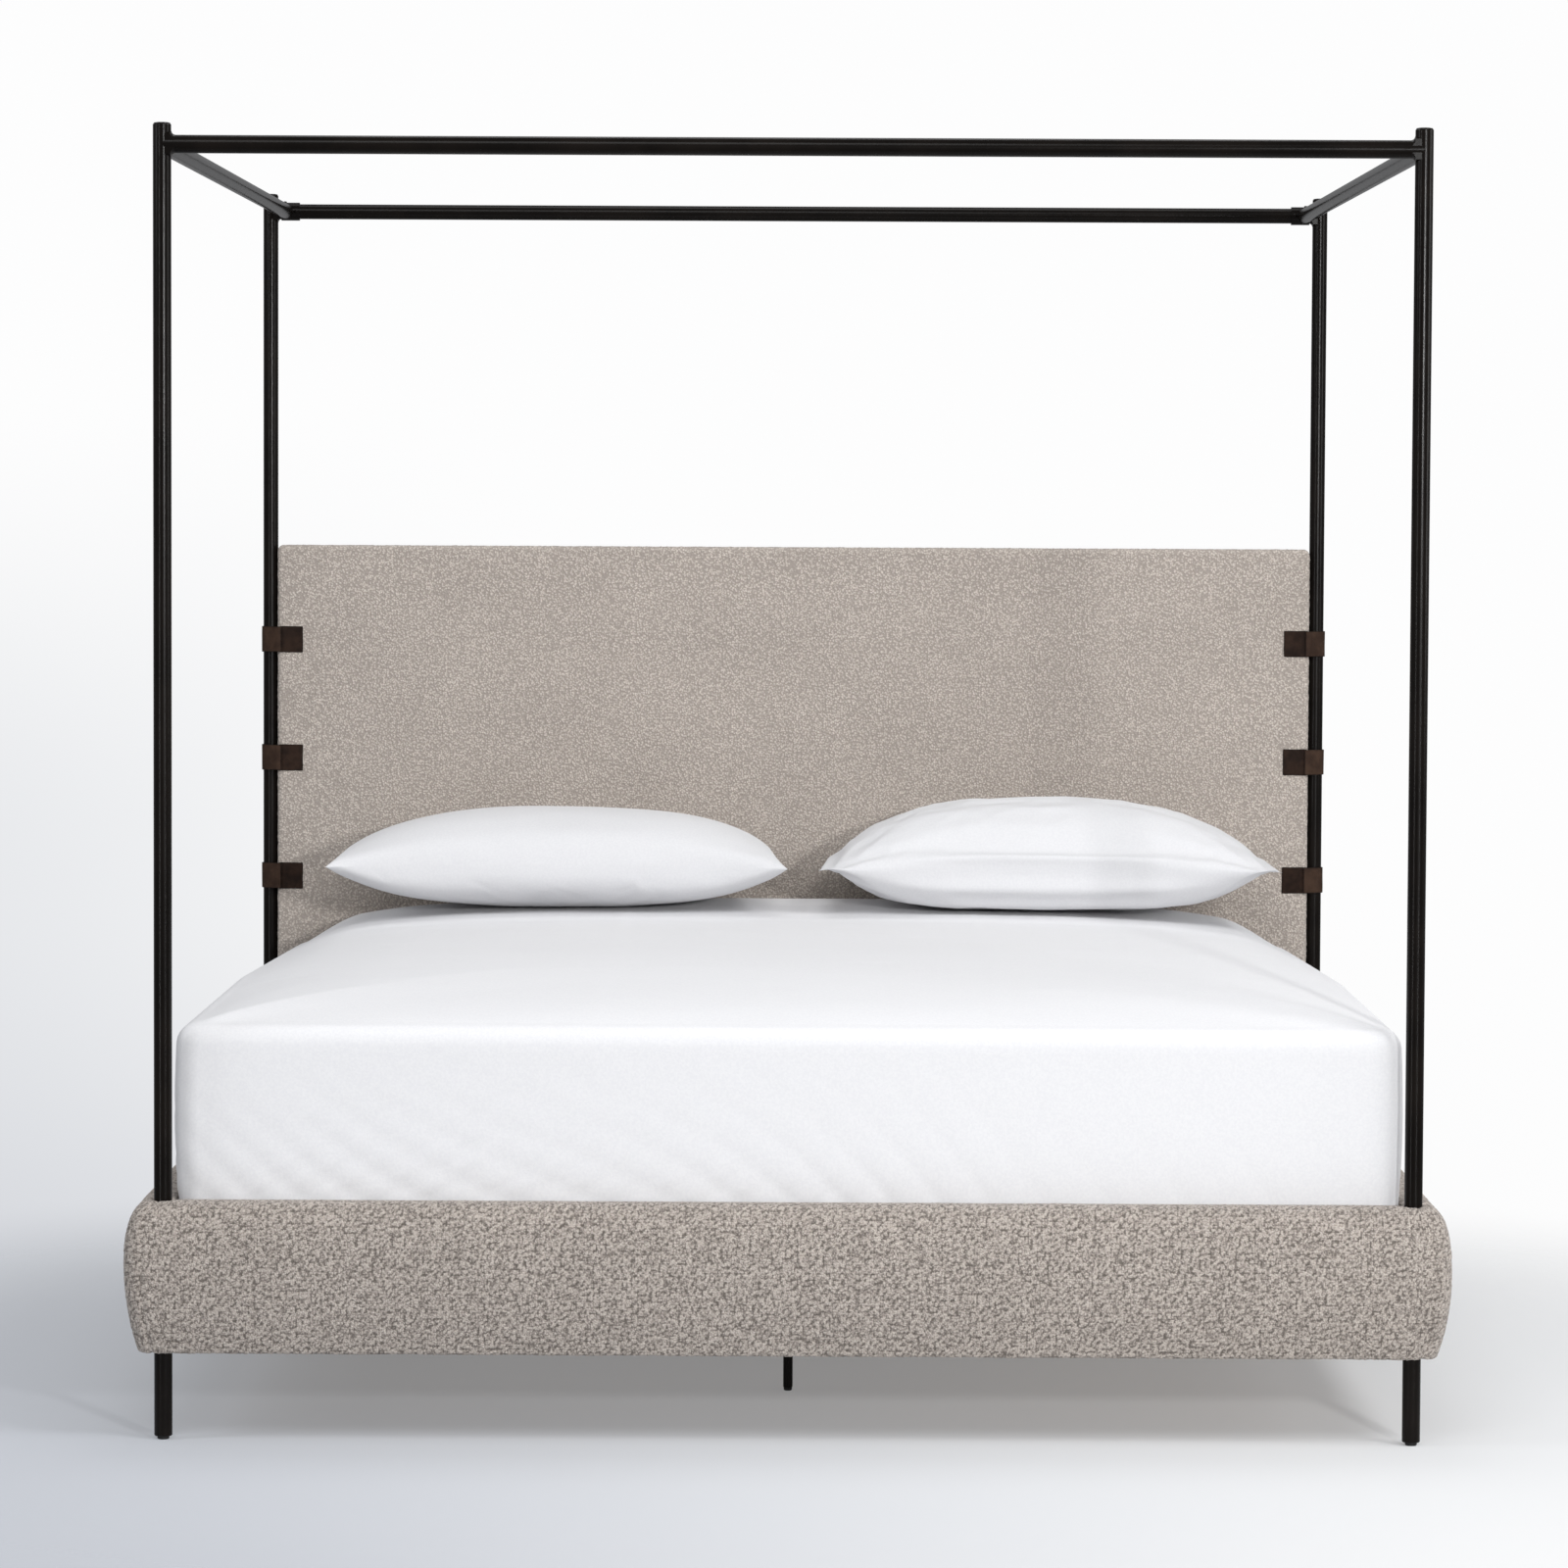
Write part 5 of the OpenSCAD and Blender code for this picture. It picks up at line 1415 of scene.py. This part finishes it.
def make_floor():
    """A disc whose colour is painted lighter towards the right and darker towards the left, as painted light
    and shade, which glows as painted light, and whose alpha falls with the distance.
    """
    a = np.linspace(0, 2 * math.pi, 97)[:-1]
    ring = np.stack([FLOOR_R * np.cos(a), FLOOR_R * np.sin(a), np.zeros(96)], -1)
    mesh = bpy.data.meshes.new("floor")
    mesh.from_pydata(ring.tolist(), [], [list(range(96))])
    floor = bpy.data.objects.new("floor", mesh)
    bpy.context.scene.collection.objects.link(floor)
    made, tree, shader, place = start_material(
        "studio_floor", LIT_FLOOR[:3], 0.8, Specular_IOR_Level=0.1,
        Emission_Color=(0.93, 0.96, 1, 1), Emission_Strength=FLOOR_GLOW)
    # Darker and bluer towards the left and a little towards the front: painted shade.
    slope = add(tree, "VectorMath", {"operation": "DOT_PRODUCT"}, i0=place, i1=(1.0, 0.25, 0.0))
    lit = ramp(tree, slope.outputs["Value"], -1.7, 0.9)
    tree.links.new(mix(tree, lit, DIM_FLOOR, LIT_FLOOR), shader.inputs["Base Color"])
    from_middle = add(tree, "VectorMath", {"operation": "ADD"}, i0=place, i1=(0.0, 0.25, 0.0)).outputs[0]
    far = add(tree, "VectorMath", {"operation": "LENGTH"}, i0=from_middle).outputs["Value"]
    tree.links.new(ramp(tree, far, 1.2, 2.7, 1.0, 0.0), shader.inputs["Alpha"])
    mesh.materials.append(made)
    print("floor:", FLOOR_R, "m, glows by", FLOOR_GLOW)


make_floor()


# %% Lights
def soft_box(name, place, aim, size, power, colour=(1, 1, 1), only_shine=False):
    """A rectangular lamp that stands at place and faces aim."""
    lamp = bpy.data.lights.new(name, "AREA")
    lamp.shape = "RECTANGLE"
    lamp.size, lamp.size_y = size
    lamp.energy = power
    lamp.color = colour
    made = bpy.data.objects.new(name, lamp)
    made.location = place
    made.rotation_euler = (Vector(aim) - Vector(place)).to_track_quat("-Z", "Y").to_euler()
    made.visible_diffuse = not only_shine
    bpy.context.scene.collection.objects.link(made)


def light_world():
    """A bright backdrop that only the camera sees, painted greyer and bluer low on the left as painted shade
    of the far floor, and a dimmer even light for the bed.
    """
    world = bpy.data.worlds.new("studio")
    bpy.context.scene.world = world
    world.use_nodes = True
    tree = world.node_tree
    dim = tree.nodes["Background"]
    dim.inputs["Color"].default_value = (0.965, 0.975, 1.0, 1)
    dim.inputs["Strength"].default_value = 0.36
    axes = add(tree, "SeparateXYZ", Vector=add(tree, "TexCoord").outputs["Generated"])
    west = math_node(tree, "MULTIPLY", axes.outputs[0], -1.0)
    down = math_node(tree, "MULTIPLY", axes.outputs[2], -1.0)
    # Greyer and bluer towards the left just below the horizon, and darker still lower down on the left:
    # painted shade of the far floor.
    painted_left_shade = math_node(tree, "MULTIPLY", ramp(tree, west, 0.03, 0.16), ramp(tree, down, -0.02, 0.07))
    deep = math_node(tree, "MULTIPLY", ramp(tree, west, -0.16, 0.16), ramp(tree, down, 0.06, 0.2))
    colour = mix(tree, painted_left_shade, (0.983, 0.983, 0.985, 1), (0.80, 0.812, 0.835, 1))
    colour = mix(tree, deep, colour, (0.56, 0.58, 0.63, 1))
    backdrop = add(tree, "Background", Strength=1.0, Color=colour)
    seen = add(tree, "LightPath").outputs["Is Camera Ray"]
    both = add(tree, "MixShader", i0=seen, i1=dim.outputs[0], i2=backdrop.outputs[0])
    tree.links.new(both.outputs[0], tree.nodes["World Output"].inputs["Surface"])


def light_studio():
    """All the lamps, and a plain view transform that keeps the whites white."""
    soft_box("key", (4.2, -4.2, 6.0), (0, 0, 0.7), (2.4, 2.4), 232)
    soft_box("front", (-1.0, -6.4, 5.6), (0, 0, 0.6), (3.6, 2.0), 118)
    soft_box("left", (-5.4, -2.5, 3.6), (0, 0, 0.8), (1.6, 3.0), 82, (0.95, 0.97, 1.0))
    soft_box("right", (5.6, -1.6, 2.2), (0, -0.4, 0.6), (1.4, 2.2), 62)
    soft_box("overhead", (0, 1.2, 5.2), (0, 0.6, 0), (2.6, 1.8), 44)
    soft_box("low_lamp", (2.4, -7.4, 2.0), (0, -1.0, 0.1), (0.4, 0.4), 215)
    soft_box("left_strip", (-3.6, -5.4, 1.3), (-0.5, 0, 1.3), (0.16, 3.6), 60, only_shine=True)
    soft_box("right_strip", (3.2, -6.0, 1.3), (0.5, 0, 1.3), (0.16, 3.6), 50, only_shine=True)
    bpy.context.scene.view_settings.view_transform = "Standard"
    bpy.context.scene.view_settings.look = "None"


light_world()
light_studio()
